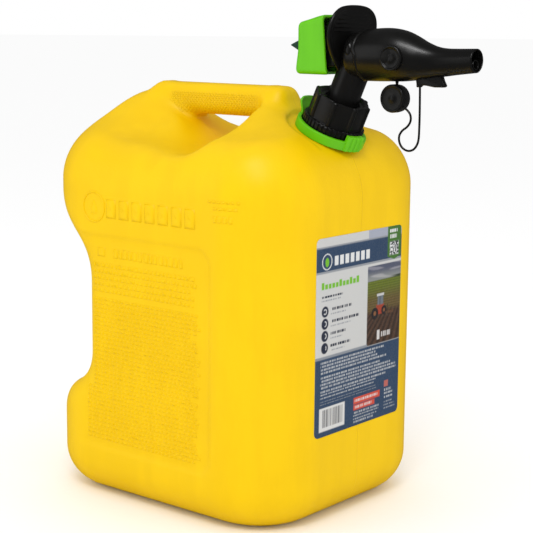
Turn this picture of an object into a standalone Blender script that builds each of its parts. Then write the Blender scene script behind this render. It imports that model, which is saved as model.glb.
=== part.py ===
"""Five gallon fuel can with a trigger-operated pouring spout.

Units are metres and +Z is up.  +X is the front of the can, where the label and the spout
are, and the can is symmetric about the plane Y = 0.  The origin is the middle of the base.
"""

import bmesh
import bpy
import numpy as np
from math import cos, pi, radians, sin
from mathutils import Matrix, Vector

# ---------------------------------------------------------------- clearances
GAP = 0.0003            # between pieces that touch or seat on each other
SLIDE_GAP = 0.0006      # between pieces that slide or turn in each other
PAWL_GAP = 0.0004       # release pawl to the teeth beside it
OVERLAP = 0.001         # how far joined solids run into each other
OVERCUT = 0.010         # how far a cutter runs past the face it opens
SHARP_ANGLE = radians(30.0)

# ---------------------------------------------------------------- can body
CAN_LENGTH = 0.303      # front to back
CAN_WIDTH = 0.259
CAN_HEIGHT = 0.400      # base to the top of the handle
HALF_LENGTH = CAN_LENGTH / 2
HALF_WIDTH = CAN_WIDTH / 2
CORNER_RADIUS = 0.0715  # upright corners
BASE_FILLET = 0.0392
TOP_FILLET = 0.038
WALL = 0.0032
SKIN_CELL = 0.0095      # grid that the body's surface is read from
OUTER_SHARE = 0.22      # share of that surface's triangles that is kept
INNER_SHARE = 0.13

# ---------------------------------------------------------------- neck
NECK_TILT = radians(24.5)                # the neck's axis leans forward from upright
NECK_X = HALF_LENGTH - 0.0390            # where that axis meets the ring's seat
NECK_Z = CAN_HEIGHT - 0.0435
NECK_BORE_RADIUS = 0.0190
NECK_RADIUS = 0.0222
NECK_HEIGHT = 0.0280
NECK_ROOT = -0.012                       # the neck's tube starts this far inside the body
SEAT_RADIUS = NECK_RADIUS + 0.0193                     # round recess in the roof for the lock ring
SEAT_RIM = 0.0040                        # the roof around it stands this high over the seat

# ---------------------------------------------------------------- roof, handle and hand holds
SHOULDER_Z = CAN_HEIGHT - 0.059          # roof height at the side walls
RIDGE_Z = CAN_HEIGHT - 0.003             # roof height at the middle
TENT_WIDTH = 0.054                       # half width at which the roof has dropped half way
ROOF_STEEPNESS = 0.85
POCKET_DEPTH = 0.024                     # how much the roof narrows beside the hand hole
POCKET_CENTRE = -0.028
POCKET_LENGTH = 0.055
REAR_SLOPE = radians(27.0)
REAR_SLOPE_START = 0.0485 - HALF_LENGTH
HANDLE_HALF_WIDTH = 0.0165
HANDLE_HALF_HEIGHT = 0.0150
HANDLE_ROUNDING = 0.0115
HANDLE_Z = CAN_HEIGHT - HANDLE_HALF_HEIGHT - 0.0005
HANDLE_FRONT = NECK_X - 0.0445
HANDLE_REAR = 0.0535 - HALF_LENGTH
HOLE_FRONT = NECK_X - 0.0625             # hand hole: upright front wall, sloping rear wall
HOLE_REAR = 0.0935 - HALF_LENGTH
HOLE_SLOPE = radians(35.0)
HOLE_FLOOR = CAN_HEIGHT - 0.078
HOLE_FLOOR_RISE = 0.22                   # per metre outboard of the bar
HOLE_FLOOR_FLAT = 0.030                  # half width of its level middle
GRIP_DEPTH = 0.066                       # recess for the second hand, across the rear face
GRIP_LOW = 0.117
GRIP_HIGH = 0.244
GRIP_LOW_SLOPE = (0.275, 0.86)           # how its lower and upper walls run inward and up
GRIP_HIGH_SLOPE = (0.45, 0.80)
ROOF_BLEND = 0.020                       # fillets between those surfaces
FRONT_BLEND = 0.012
HOLE_WALL_BLEND = 0.012
HOLE_FLOOR_BLEND = 0.030
HOLE_RIM_BLEND = 0.014
BAR_BLEND = 0.014
BAR_END_BLEND = 0.010
SEAT_BLEND = 0.004
GRIP_CORNER_BLEND = 0.020
GRIP_INNER_BLEND = 0.030
GRIP_RIM_BLEND = 0.024

# ---------------------------------------------------------------- label
LABEL_HALF_WIDTH = HALF_WIDTH - CORNER_RADIUS + 0.0085
LABEL_LOW = 0.0865
LABEL_HIGH = CAN_HEIGHT - 0.130
LABEL_CORNER = 0.0050
LABEL_THICKNESS = 0.0005
LABEL_RECESS = 0.0004

# ---------------------------------------------------------------- lock ring, tab and collar
RING_INNER = NECK_RADIUS + 0.0079
RING_OUTER = RING_INNER + 0.0034
RING_HEIGHT = 0.0090
RING_CHAMFER = 0.0010
RING_BLOCK_TURN = radians(-10.0)         # the thumb block stands a little right of the front
RING_BLOCK_RADIUS = RING_OUTER + 0.0015
RING_BLOCK_HEIGHT = 0.0150
RING_BLOCK_ANGLE = radians(17.0)
RING_GROOVE = 0.0011
TAB_HALF_WIDTH = 0.0110
TAB_THICKNESS = 0.0022
TAB_TIP_HEIGHT = 0.0212
TAB_TIP_RADIUS = RING_OUTER + 0.0053
COLLAR_TOP = 0.0390
COLLAR_FACET_BOTTOM = 0.0160
COLLAR_ACROSS_FLATS = 2 * NECK_RADIUS + 0.0042
COLLAR_SIDES = 8
COLLAR_NUB_RADIUS = 0.0020
COLLAR_NUB_INSET = 0.0012
COLLAR_BORE = NECK_RADIUS + SLIDE_GAP
COLLAR_LIP_THICKNESS = 0.0040
SKIRT_BOTTOM = 0.0030
SKIRT_ROOT_RADIUS = NECK_RADIUS + 0.0056
TOOTH_HEIGHT = 0.0013
SKIRT_RADIUS = SKIRT_ROOT_RADIUS + TOOTH_HEIGHT
TEETH = 40
TOOTH_SHARES = ((0.0, SKIRT_ROOT_RADIUS), (0.42, SKIRT_ROOT_RADIUS), (0.50, SKIRT_RADIUS), (0.92, SKIRT_RADIUS))

# ---------------------------------------------------------------- stem and screen
STEM_RADIUS = 0.0150
STEM_BORE = 0.0122
STEM_OVERRUN = 0.0040                    # how far the stem runs past the barrel's axis
STEM_FLANGE_RADIUS = NECK_RADIUS
STEM_FLANGE_THICKNESS = 0.0030
STEM_FLANGE_TOP = COLLAR_TOP - COLLAR_LIP_THICKNESS - GAP
STEM_FLANGE_UNDER = STEM_FLANGE_TOP - STEM_FLANGE_THICKNESS
LIP_RADIUS = STEM_RADIUS + 0.0020        # opening in the collar's lip
GASKET_THICKNESS = 0.0020
GASKET_INNER = NECK_BORE_RADIUS - 0.0010
RIM_RADIUS = NECK_RADIUS - 0.0006        # gasket and screen flange stop short of the collar
SCREEN_DEPTH = 0.0500
SCREEN_RADIUS = NECK_BORE_RADIUS - 0.0012
SCREEN_WALL = 0.0008
SCREEN_FLANGE = 0.0010
SCREEN_WINDOWS = 12                      # slots round its wall, between upright bars
WINDOW_HALF_WIDTH = 0.0024
WINDOW_MARGIN = 0.0050                   # solid band over its floor and under its flange
AIR_TUBE_RADIUS = 0.0040
AIR_TUBE_WALL = 0.0010
AIR_TUBE_BELOW = 0.0300                  # how far it hangs below the stem's flange
AIR_TUBE_ABOVE = 0.0200

# ---------------------------------------------------------------- spout
BARREL_Z = NECK_Z + 0.0735               # barrel axis at its rear end
BARREL_REAR = NECK_X + 0.0375
BARREL_WALL = 0.0024
BARREL_LENGTH = 0.1185
TIP_X = BARREL_REAR + BARREL_LENGTH
TIP_RADIUS = 0.0103                      # the standard nozzle for a diesel filler neck
BARREL_STATIONS = (                      # distance from the rear, axis height, radius
    (0.0000, 0.0000, 0.0225),
    (0.0060, 0.0005, 0.0229),
    (0.0180, 0.0012, 0.0235),
    (0.0320, 0.0015, 0.0234),
    (0.0450, 0.0007, 0.0222),
    (0.0560, -0.0008, 0.0196),
    (0.0670, -0.0025, 0.0161),
    (0.0780, -0.0036, 0.0134),
    (0.0880, -0.0038, 0.0121),
    (0.1000, -0.0030, 0.0112),
    (BARREL_LENGTH, -0.0017, TIP_RADIUS),
)
BARREL_SIDES = 28
BARREL_BOTTOM = BARREL_Z - BARREL_STATIONS[0][2]
STEM_TOP = (BARREL_Z - NECK_Z) / cos(NECK_TILT)    # up the neck's axis to the barrel's axis
HOUSING_REAR = BARREL_REAR - 0.0097
HOUSING_RADIUS = 0.0212
HOUSING_BORE = 0.0165
HOUSING_END_WALL = 0.0025
SPIGOT_LENGTH = 0.0100
SPIGOT_RADIUS = 0.0198
BOSS_RADIUS = 0.0075
HOOK_HALF_THICKNESS = 0.0025
HOOK_OUTLINE = (                         # distance from the barrel's rear, height over its bottom
    (0.0580, 0.0080), (0.0590, 0.0030), (0.0600, 0.0008), (0.0600, -0.0036), (0.0634, -0.0036),
    (0.0641, -0.0026), (0.0658, -0.0017), (0.0700, -0.0019), (0.0784, -0.0031), (0.0880, -0.0029),
    (0.0897, -0.0016), (0.0872, 0.0026), (0.0850, 0.0085),
)
BADGE_X = BARREL_REAR + 0.0443
BADGE_RADIUS = 0.0110
BADGE_DEPTH = 0.0012
BADGE_PROUD = 0.0003
FLANGE_X = NECK_X + 0.0200               # middle of the finger flange at the barrel's axis
FLANGE_THICKNESS = 0.0030
FLANGE_LEAN = radians(7.0)
FLANGE_SPACE = 0.0050                    # free room behind it for its lean
FLANGE_OUTLINE = (                       # half width and height over the barrel's axis
    (0.0110, -0.0145), (0.0153, -0.0110), (0.0226, -0.0040), (0.0307, 0.0060), (0.0354, 0.0160),
    (0.0365, 0.0245), (0.0343, 0.0325), (0.0292, 0.0388), (0.0212, 0.0432), (0.0110, 0.0452),
)

# ---------------------------------------------------------------- valve and vent tube
ROD_Z = BARREL_Z - 0.0035
ROD_RADIUS = 0.0020
SEAT_X = BARREL_REAR + 0.0410
SEAT_THICKNESS = 0.0050
SEAT_INSET = 0.0012
VALVE_SEAT_BORE = 0.0075
POPPET_RADIUS = 0.0090
POPPET_THICKNESS = 0.0050
POPPET_NOSE = 0.45                       # its front radius as a share of its rear radius
POPPET_HUB = ROD_RADIUS + 0.0026
SEAL_THICKNESS = 0.0012
SEAL_RADIUS = POPPET_RADIUS - 0.0004
SEAL_GAP = 0.0004                        # the seal fits loosely round the poppet's hub
SOCKET_DEPTH = 0.0030
VENT_RADIUS = 0.0043
VENT_WALL = 0.0008
VENT_REAR = BARREL_REAR + 0.0700
VENT_RISE = 0.0009                       # its rear end stands this much over the barrel's floor
VENT_INSET = 0.0012

# ---------------------------------------------------------------- trigger and latch
TRIGGER_FRONT = BARREL_REAR - 0.0285
TRIGGER_REAR = TRIGGER_FRONT - 0.0353
TRIGGER_TOP = BARREL_Z + 0.0362
TRIGGER_REAR_TOP = BARREL_Z + 0.0290     # the roof slopes up towards the front
TRIGGER_BOTTOM = BARREL_Z - 0.0178
TRIGGER_HALF_WIDTH = 0.0170
TRIGGER_WALL = 0.0025
TRIGGER_ROUNDING = 0.0035
TRIGGER_TRAVEL = 0.0065
TRIGGER_SLANT = 0.0045                   # its front edge is this much further back at the top
GUIDE_REAR = TRIGGER_REAR + TRIGGER_WALL + TRIGGER_TRAVEL + 0.0024
GUIDE_HALF_WIDTH = 0.0110
GUIDE_ROUNDING = 0.0010
GUIDE_TOP = BARREL_Z + 0.0270
GUIDE_BOTTOM = BARREL_Z - 0.0105
SPRING_RADIUS = 0.0041                   # centre of the wire
SPRING_WIRE = 0.0005
SPRING_TURNS = 7
SPRING_STEPS = 10                        # points in each turn
SPRING_FRONT = GUIDE_REAR + 0.0189
SPRING_POCKET = SPRING_RADIUS + 0.0015
LATCH_PIVOT_X = GUIDE_REAR + 0.0109
LATCH_PIVOT_Z = BARREL_Z + 0.0100
LATCH_HALF_WIDTH = 0.0032
LATCH_OUTLINE = (                        # distance behind the pivot, height over it
    (-0.0420, -0.0022), (-0.0320, -0.0064), (-0.0195, -0.0073), (-0.0080, -0.0060), (0.0000, -0.0038),
    (0.0036, -0.0015), (0.0036, 0.0020), (0.0000, 0.0040), (-0.0080, 0.0050), (-0.0195, 0.0040),
    (-0.0320, 0.0024), (-0.0412, -0.0012),
)
LATCH_SLOT_FRONT = LATCH_PIVOT_X + 0.0060
WINDOW_LOW = LATCH_PIVOT_Z - 0.0088      # opening in the trigger's rear wall for the latch
WINDOW_HIGH = LATCH_PIVOT_Z + 0.0075
WINDOW_GAP = 0.0008
PIN_RADIUS = 0.0014

# ---------------------------------------------------------------- dust cap and tether
CAP_X = BARREL_REAR + 0.0355
CAP_Z = BARREL_Z - 0.0368
CAP_RADIUS = 0.0126
CAP_LENGTH = 0.0120
CAP_WALL = 0.0018
CAP_END_WALL = 0.0024
LINER_THICKNESS = 0.0010
LINER_HOLE = 0.0020
STUB_X = CAP_X + 0.0015
STUB_RADIUS = 0.0014
TETHER_RADIUS = 0.0010
# along the tether from the hook to the cap: distance from the barrel's rear, height over its axis
TETHER_ROUTE = (
    (0.0615, -0.0265), (0.0616, -0.0340), (0.0617, -0.0440), (0.0618, -0.0540), (0.0617, -0.0640),
    (0.0614, -0.0710), (0.0600, -0.0763), (0.0566, -0.0807), (0.0520, -0.0825), (0.0474, -0.0819),
    (0.0432, -0.0791), (0.0408, -0.0744), (0.0409, -0.0693), (0.0440, -0.0649), (0.0485, -0.0617),
    (0.0516, -0.0579), (0.0526, -0.0538), (0.0516, -0.0500), (0.0492, -0.0472), (0.0463, -0.0451),
)
TETHER_POINTS = 44

UPRIGHT_XZ = Matrix(((1, 0, 0, 0), (0, 0, 1, 0), (0, 1, 0, 0), (0, 0, 0, 1)))    # outlines drawn in X and Z
UPRIGHT_YZ = Matrix(((0, 0, 1, 0), (1, 0, 0, 0), (0, 1, 0, 0), (0, 0, 0, 1)))    # outlines drawn in Y and Z

parts = bpy.data.collections.new("safety_gas_can")
tools = bpy.data.collections.new("cutters")


# ================================================================ helpers
def clear_scene():
    for obj in list(bpy.data.objects):
        bpy.data.objects.remove(obj, do_unlink=True)
    bpy.context.scene.collection.children.link(parts)
    bpy.context.scene.collection.children.link(tools)


def material(name, colour, roughness, metallic=0.0):
    mat = bpy.data.materials.new(name)
    mat.use_nodes = True
    shader = mat.node_tree.nodes["Principled BSDF"]
    shader.inputs["Base Color"].default_value = (*colour, 1.0)
    shader.inputs["Roughness"].default_value = roughness
    shader.inputs["Metallic"].default_value = metallic
    return mat


def empty(name, place, turn=(0.0, 0.0, 0.0)):
    """An empty that marks a joint's axis or a tilted frame, and carries its pieces."""
    holder = bpy.data.objects.new(name, None)
    holder.location = place
    holder.rotation_euler = turn
    parts.objects.link(holder)
    return holder


def smooth(mesh):
    mesh.shade_smooth()
    mesh.set_sharp_from_angle(angle=SHARP_ANGLE)


def piece(name, mesh, mat, parent=None):
    obj = bpy.data.objects.new(name, mesh)
    smooth(mesh)
    mesh.materials.clear()
    mesh.materials.append(mat)
    parts.objects.link(obj)
    obj.parent = parent
    return obj


def cutter(mesh, parent=None):
    obj = bpy.data.objects.new("cutter", mesh)
    smooth(mesh)
    tools.objects.link(obj)
    obj.parent = parent
    obj.hide_render = True
    obj.display_type = "WIRE"
    return obj


def combine(obj, other, operation):
    mod = obj.modifiers.new(operation.lower(), "BOOLEAN")
    mod.operation = operation
    mod.solver = "EXACT"
    mod.object = other


def mesh_from(name, points, faces):
    mesh = bpy.data.meshes.new(name)
    mesh.from_pydata([tuple(p) for p in points], [], [tuple(f) for f in faces])
    mesh.update()
    return mesh


def box_mesh(name, low, high, rounding=0.0, segments=2):
    """A box between two corners, with its upright and level edges rounded."""
    bm = bmesh.new()
    bmesh.ops.create_cube(bm, size=1.0)
    low, high = Vector(low), Vector(high)
    size = high - low
    bmesh.ops.scale(bm, vec=size, verts=bm.verts)
    bmesh.ops.translate(bm, vec=(low + high) / 2, verts=bm.verts)
    if rounding:
        bmesh.ops.bevel(bm, geom=bm.edges[:], offset=rounding, segments=segments,
                        affect="EDGES", profile=0.5)
    mesh = bpy.data.meshes.new(name)
    bm.to_mesh(mesh)
    bm.free()
    return mesh


def rod_mesh(name, start, end, radius, sides=24, end_radius=None):
    """A solid round bar, or a cone, between two points."""
    start, end = Vector(start), Vector(end)
    run = end - start
    bm = bmesh.new()
    bmesh.ops.create_cone(bm, cap_ends=True, cap_tris=False, segments=sides, radius1=radius,
                          radius2=radius if end_radius is None else end_radius, depth=run.length)
    turn = Vector((0, 0, 1)).rotation_difference(run.normalized()).to_matrix().to_4x4()
    bmesh.ops.transform(bm, matrix=Matrix.Translation((start + end) / 2) @ turn, verts=bm.verts)
    mesh = bpy.data.meshes.new(name)
    bm.to_mesh(mesh)
    bm.free()
    return mesh


def turned_mesh(name, profile, sides=32):
    """A closed profile of (radius, height) points turned about local Z into a ring."""
    mesh = bpy.data.meshes.new(name)
    edges = [(k, (k + 1) % len(profile)) for k in range(len(profile))]
    mesh.from_pydata([(radius, 0.0, height) for radius, height in profile], edges, [])
    holder = cutter(mesh)
    turn = holder.modifiers.new("turn", "SCREW")
    turn.steps = sides
    turn.render_steps = sides
    turn.use_merge_vertices = True
    turn.merge_threshold = 0.00001
    return outward(baked(holder))


def outward(mesh):
    """Turns all faces of a closed mesh to point out of its solid."""
    bm = bmesh.new()
    bm.from_mesh(mesh)
    bmesh.ops.recalc_face_normals(bm, faces=bm.faces[:])
    if bm.calc_volume(signed=True) < 0:
        bmesh.ops.reverse_faces(bm, faces=bm.faces[:])
    bm.to_mesh(mesh)
    bm.free()
    return mesh


def plate_mesh(name, outline, thickness, place):
    """A flat outline, filled and given a thickness, put in place by a matrix."""
    bm = bmesh.new()
    low = [bm.verts.new((x, y, -thickness / 2)) for x, y in outline]
    face = bm.faces.new(low)
    grown = bmesh.ops.extrude_face_region(bm, geom=[face])
    top = [item for item in grown["geom"] if isinstance(item, bmesh.types.BMVert)]
    bmesh.ops.translate(bm, vec=(0, 0, thickness), verts=top)
    bmesh.ops.transform(bm, matrix=place, verts=bm.verts)
    mesh = bpy.data.meshes.new(name)
    bm.to_mesh(mesh)
    bm.free()
    return outward(mesh)


def tube_mesh(name, points, radius, resolution=2):
    """A round cord through the given points, with its ends closed."""
    curve = bpy.data.curves.new(name, "CURVE")
    curve.dimensions = "3D"
    curve.bevel_depth = radius
    curve.bevel_resolution = resolution
    curve.use_fill_caps = True
    spline = curve.splines.new("POLY")
    spline.points.add(len(points) - 1)
    for knot, point in zip(spline.points, points):
        knot.co = (*point, 1.0)
    holder = bpy.data.objects.new(name, curve)
    tools.objects.link(holder)
    bpy.context.view_layer.update()
    mesh = bpy.data.meshes.new_from_object(holder.evaluated_get(bpy.context.evaluated_depsgraph_get()))
    bpy.data.objects.remove(holder)
    bm = bmesh.new()
    bm.from_mesh(mesh)
    bmesh.ops.remove_doubles(bm, verts=bm.verts, dist=0.00002)
    bm.to_mesh(mesh)
    bm.free()
    return outward(mesh)


def smooth_route(points, count):
    """Evenly spaced points on a Catmull-Rom curve through the route's points."""
    knots = np.array(points, dtype=float)
    before = 2 * knots[0] - knots[1]
    after = 2 * knots[-1] - knots[-2]
    padded = np.vstack([before, knots, after])
    steps = np.linspace(0.0, 1.0, 12, endpoint=False)[:, None]
    runs = []
    for a, b, c, d in zip(padded[:-3], padded[1:-2], padded[2:-1], padded[3:]):
        runs.append(0.5 * (2 * b + (c - a) * steps + (2 * a - 5 * b + 4 * c - d) * steps ** 2
                           + (3 * b - a - 3 * c + d) * steps ** 3))
    line = np.vstack(runs + [knots[-1:]])
    along = np.concatenate([[0.0], np.cumsum(np.linalg.norm(np.diff(line, axis=0), axis=1))])
    wanted = np.linspace(0.0, along[-1], count)
    return np.stack([np.interp(wanted, along, line[:, k]) for k in range(line.shape[1])], axis=1)


def loft_mesh(name, rings, caps=True):
    """A skin over equal rings of points, closed by a fan at each end."""
    rings = np.array(rings)
    count, sides = rings.shape[:2]
    points = rings.reshape(-1, 3)
    faces = []
    for i in range(count - 1):
        for j in range(sides):
            k = (j + 1) % sides
            faces.append((i * sides + j, i * sides + k, (i + 1) * sides + k, (i + 1) * sides + j))
    if caps:
        faces.append(tuple(range(sides)))
        faces.append(tuple((count - 1) * sides + j for j in range(sides)))
    else:
        for j in range(sides):
            k = (j + 1) % sides
            last = (count - 1) * sides
            faces.append((last + j, last + k, k, j))
    return outward(mesh_from(name, points, faces))


def decimate(obj, share):
    mod = obj.modifiers.new("fewer", "DECIMATE")
    mod.ratio = share


def baked(obj):
    """The object's mesh with its modifiers applied."""
    bpy.context.view_layer.update()
    mesh = bpy.data.meshes.new_from_object(obj.evaluated_get(bpy.context.evaluated_depsgraph_get()))
    bpy.data.objects.remove(obj)
    return mesh


# ================================================================ body surface
def smooth_min(a, b, radius):
    """The lower of two distances, with their crease filleted over the radius."""
    near = np.maximum(radius - np.abs(a - b), 0.0) / radius
    return np.minimum(a, b) - near * near * radius / 4


def smooth_max(a, b, radius):
    return -smooth_min(-a, -b, radius)


def rounded_rectangle(u, v, half_u, half_v, radius):
    """Distance to a rectangle with round corners."""
    du = np.abs(u) - (half_u - radius)
    dv = np.abs(v) - (half_v - radius)
    outside = np.hypot(np.maximum(du, 0.0), np.maximum(dv, 0.0))
    return outside + np.minimum(np.maximum(du, dv), 0.0) - radius


def rounded_edge(side, end, radius):
    """Distance to a solid where a side wall meets an end face with a round edge."""
    outside = np.hypot(np.maximum(side + radius, 0.0), np.maximum(end + radius, 0.0))
    return outside + np.minimum(np.maximum(side + radius, end + radius), 0.0) - radius


def neck_coordinates(x, y, z):
    """Distance from the neck's axis and height above the ring's seat."""
    dx, dz = x - NECK_X, z - NECK_Z
    forward = dx * cos(NECK_TILT) - dz * sin(NECK_TILT)
    height = dx * sin(NECK_TILT) + dz * cos(NECK_TILT)
    return np.hypot(forward, y), height


def body_distance(x, y, z):
    """Signed distance to the can's outer skin, without its neck; negative inside."""
    walls = rounded_rectangle(x, y, HALF_LENGTH, HALF_WIDTH, CORNER_RADIUS)
    base = rounded_edge(walls, -z, BASE_FILLET)
    tent = TENT_WIDTH - POCKET_DEPTH * np.exp(-((x - POCKET_CENTRE) / POCKET_LENGTH) ** 4)
    crown = SHOULDER_Z + (RIDGE_Z - SHOULDER_Z) / (1 + (y / tent) ** 2)
    sides = (z - crown) * ROOF_STEEPNESS
    rear = (REAR_SLOPE_START - x) * sin(REAR_SLOPE) + (z - CAN_HEIGHT) * cos(REAR_SLOPE)
    radius, height = neck_coordinates(x, y, z)
    roof = smooth_max(smooth_max(sides, rear, ROOF_BLEND), height - SEAT_RIM, FRONT_BLEND)
    body = np.maximum(rounded_edge(walls, roof, TOP_FILLET), base)
    under = CAN_HEIGHT - 2 * HANDLE_HALF_HEIGHT
    rear_wall = (HOLE_REAR - x) * sin(HOLE_SLOPE) + (under - z) * cos(HOLE_SLOPE)
    floor = HOLE_FLOOR + HOLE_FLOOR_RISE * np.maximum(np.abs(y) - HOLE_FLOOR_FLAT, 0.0)
    hole = smooth_max(rear_wall, x - HOLE_FRONT, HOLE_WALL_BLEND)
    hole = smooth_max(hole, floor - z, HOLE_FLOOR_BLEND)
    body = smooth_max(body, -hole, HOLE_RIM_BLEND)
    bar = rounded_rectangle(y, z - HANDLE_Z, HANDLE_HALF_WIDTH, HANDLE_HALF_HEIGHT, HANDLE_ROUNDING)
    bar = rounded_edge(bar, np.maximum(x - HANDLE_FRONT, HANDLE_REAR - x), BAR_END_BLEND)
    body = smooth_min(body, bar, BAR_BLEND)
    seat = np.maximum(radius - SEAT_RADIUS, -height)
    body = smooth_max(body, -seat, SEAT_BLEND)
    return smooth_max(body, -grip_distance(x, z), GRIP_RIM_BLEND)


def grip_distance(x, z):
    """Signed distance to the recess across the rear face; negative in the recess."""
    inward = x + HALF_LENGTH - GRIP_DEPTH
    low = inward * GRIP_LOW_SLOPE[0] + (GRIP_LOW - z) * GRIP_LOW_SLOPE[1]
    high = inward * GRIP_HIGH_SLOPE[0] + (z - GRIP_HIGH) * GRIP_HIGH_SLOPE[1]
    return smooth_max(smooth_max(low, high, GRIP_CORNER_BLEND), inward, GRIP_INNER_BLEND)


def skin_mesh(name, distance, cell):
    """The surface where a distance is zero: one point in each grid cell that it crosses, joined
    across each grid edge that it crosses, then moved on to the surface along its slope."""
    low = np.array([-HALF_LENGTH, -HALF_WIDTH, 0.0]) - 1.7 * cell
    high = np.array([HALF_LENGTH, HALF_WIDTH, CAN_HEIGHT]) + 1.7 * cell
    counts = np.ceil((high - low) / cell).astype(int) + 1
    axes = [low[k] + cell * np.arange(counts[k]) for k in range(3)]
    value = distance(*np.meshgrid(*axes, indexing="ij"))
    inside = value < 0
    cells = tuple(counts - 1)
    total = np.zeros(cells + (3,))
    hits = np.zeros(cells)
    quads = []
    for axis in range(3):
        first = [slice(None)] * 3
        second = [slice(None)] * 3
        first[axis] = slice(0, -1)
        second[axis] = slice(1, None)
        crossed = inside[tuple(first)] != inside[tuple(second)]
        where = np.argwhere(crossed)
        a = value[tuple(first)][crossed]
        b = value[tuple(second)][crossed]
        point = where.astype(float)
        point[:, axis] += a / (a - b)
        u, v = (axis + 1) % 3, (axis + 2) % 3
        ring = []
        for step_u, step_v in ((0, 0), (1, 0), (1, 1), (0, 1)):
            home = where.copy()
            home[:, u] -= step_u
            home[:, v] -= step_v
            np.add.at(total, tuple(home.T), point)
            np.add.at(hits, tuple(home.T), 1)
            ring.append(home)
        quad = np.stack(ring, axis=1)
        start_inside = inside[tuple(first)][crossed]
        quad[~start_inside] = quad[~start_inside][:, ::-1]
        quads.append(quad)
    used = hits > 0
    number = np.full(cells, -1)
    number[used] = np.arange(used.sum())
    points = low + cell * total[used] / hits[used][:, None]
    faces = np.concatenate([number[tuple(np.moveaxis(quad, -1, 0))] for quad in quads])
    for _ in range(4):
        away = distance(*points.T)
        slope = np.stack([distance(*(points + step).T) - distance(*(points - step).T)
                          for step in np.eye(3) * 0.0004], axis=1) / 0.0008
        points = points - slope * (away / np.maximum((slope ** 2).sum(axis=1), 0.2))[:, None]
    return outward(mesh_from(name, points, faces.tolist()))


def make_can_body(mat, neck):
    """A hollow blow-moulded shell with a hollow handle, a grip recess and an open neck."""
    outer = cutter(skin_mesh("can_outer", body_distance, SKIN_CELL))
    decimate(outer, OUTER_SHARE)
    hollow = cutter(skin_mesh("can_hollow", lambda x, y, z: body_distance(x, y, z) + WALL, SKIN_CELL))
    decimate(hollow, INNER_SHARE)
    body = piece("can_body", baked(outer), mat)
    combine(body, cutter(rod_mesh("seat_face", (0, 0, -GAP), (0, 0, SEAT_RIM + OVERCUT),
                                  RING_BLOCK_RADIUS + GAP, 48), neck), "DIFFERENCE")
    combine(body, cutter(rod_mesh("neck_tube", (0, 0, NECK_ROOT), (0, 0, NECK_HEIGHT), NECK_RADIUS, 32),
                         neck), "UNION")
    combine(body, cutter(baked(hollow)), "DIFFERENCE")
    combine(body, cutter(rod_mesh("neck_bore", (0, 0, NECK_ROOT - OVERCUT), (0, 0, NECK_HEIGHT + OVERCUT),
                                  NECK_BORE_RADIUS, 32), neck), "DIFFERENCE")
    recess = (HALF_LENGTH - LABEL_RECESS, -LABEL_HALF_WIDTH - GAP, LABEL_LOW - GAP)
    reach = (HALF_LENGTH + OVERCUT, LABEL_HALF_WIDTH + GAP, LABEL_HIGH + GAP)
    combine(body, cutter(box_mesh("label_recess", recess, reach)), "DIFFERENCE")


def make_label(mat):
    """A printed plastic label in a shallow recess of the front wall."""
    outline = rounded_outline(LABEL_HALF_WIDTH, (LABEL_HIGH - LABEL_LOW) / 2, LABEL_CORNER)
    middle = Vector((HALF_LENGTH - LABEL_RECESS + GAP + LABEL_THICKNESS / 2, 0,
                     (LABEL_LOW + LABEL_HIGH) / 2))
    place = Matrix.Translation(middle) @ UPRIGHT_YZ
    piece("front_label", plate_mesh("front_label", outline, LABEL_THICKNESS, place), mat)


def rounded_outline(half_u, half_v, radius, steps=5):
    """Corner arcs of a rectangle, counter-clockwise."""
    points = []
    for corner, (su, sv) in enumerate(((1, 1), (-1, 1), (-1, -1), (1, -1))):
        for step in range(steps + 1):
            angle = (corner + step / steps) * pi / 2
            points.append((su * (half_u - radius) + radius * cos(angle),
                           sv * (half_v - radius) + radius * sin(angle)))
    return points


# ================================================================ ring, tab and collar
def make_lock_ring(mat, neck):
    """A ring on the seat, with a grooved thumb block at the front and a gap for the tab."""
    profile = [(RING_INNER, GAP), (RING_OUTER, GAP), (RING_OUTER, RING_HEIGHT - RING_CHAMFER),
               (RING_OUTER - RING_CHAMFER, RING_HEIGHT), (RING_INNER, RING_HEIGHT)]
    ring = piece("lock_ring", turned_mesh("lock_ring", profile, 48), mat, neck)
    start, end = RING_BLOCK_TURN - RING_BLOCK_ANGLE, RING_BLOCK_TURN + RING_BLOCK_ANGLE
    block = sector_outline(RING_INNER + OVERLAP, RING_BLOCK_RADIUS, start, end, 10)
    place = Matrix.Translation((0, 0, (GAP + RING_BLOCK_HEIGHT) / 2))
    combine(ring, cutter(plate_mesh("ring_block", block, RING_BLOCK_HEIGHT - GAP, place), neck), "UNION")
    for share in (0.25, 0.5, 0.75):
        angle = start + share * (end - start)
        foot = Vector((RING_BLOCK_RADIUS * cos(angle), RING_BLOCK_RADIUS * sin(angle), -OVERCUT))
        groove = rod_mesh("groove", foot, foot + Vector((0, 0, RING_BLOCK_HEIGHT + 2 * OVERCUT)), RING_GROOVE, 8)
        combine(ring, cutter(groove, neck), "DIFFERENCE")
    half = TAB_HALF_WIDTH + GAP
    combine(ring, cutter(box_mesh("tab_gap", (-RING_OUTER - OVERCUT, -half, -OVERCUT),
                                  (-RING_INNER * cos(RING_BLOCK_ANGLE) + OVERLAP, half,
                                   RING_HEIGHT + OVERCUT)), neck), "DIFFERENCE")


def sector_outline(inner, outer, start, end, steps):
    angles = np.linspace(start, end, steps + 1)
    out = [(outer * cos(a), outer * sin(a)) for a in angles]
    back = [(inner * cos(a), inner * sin(a)) for a in angles[::-1]]
    return out + back


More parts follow.
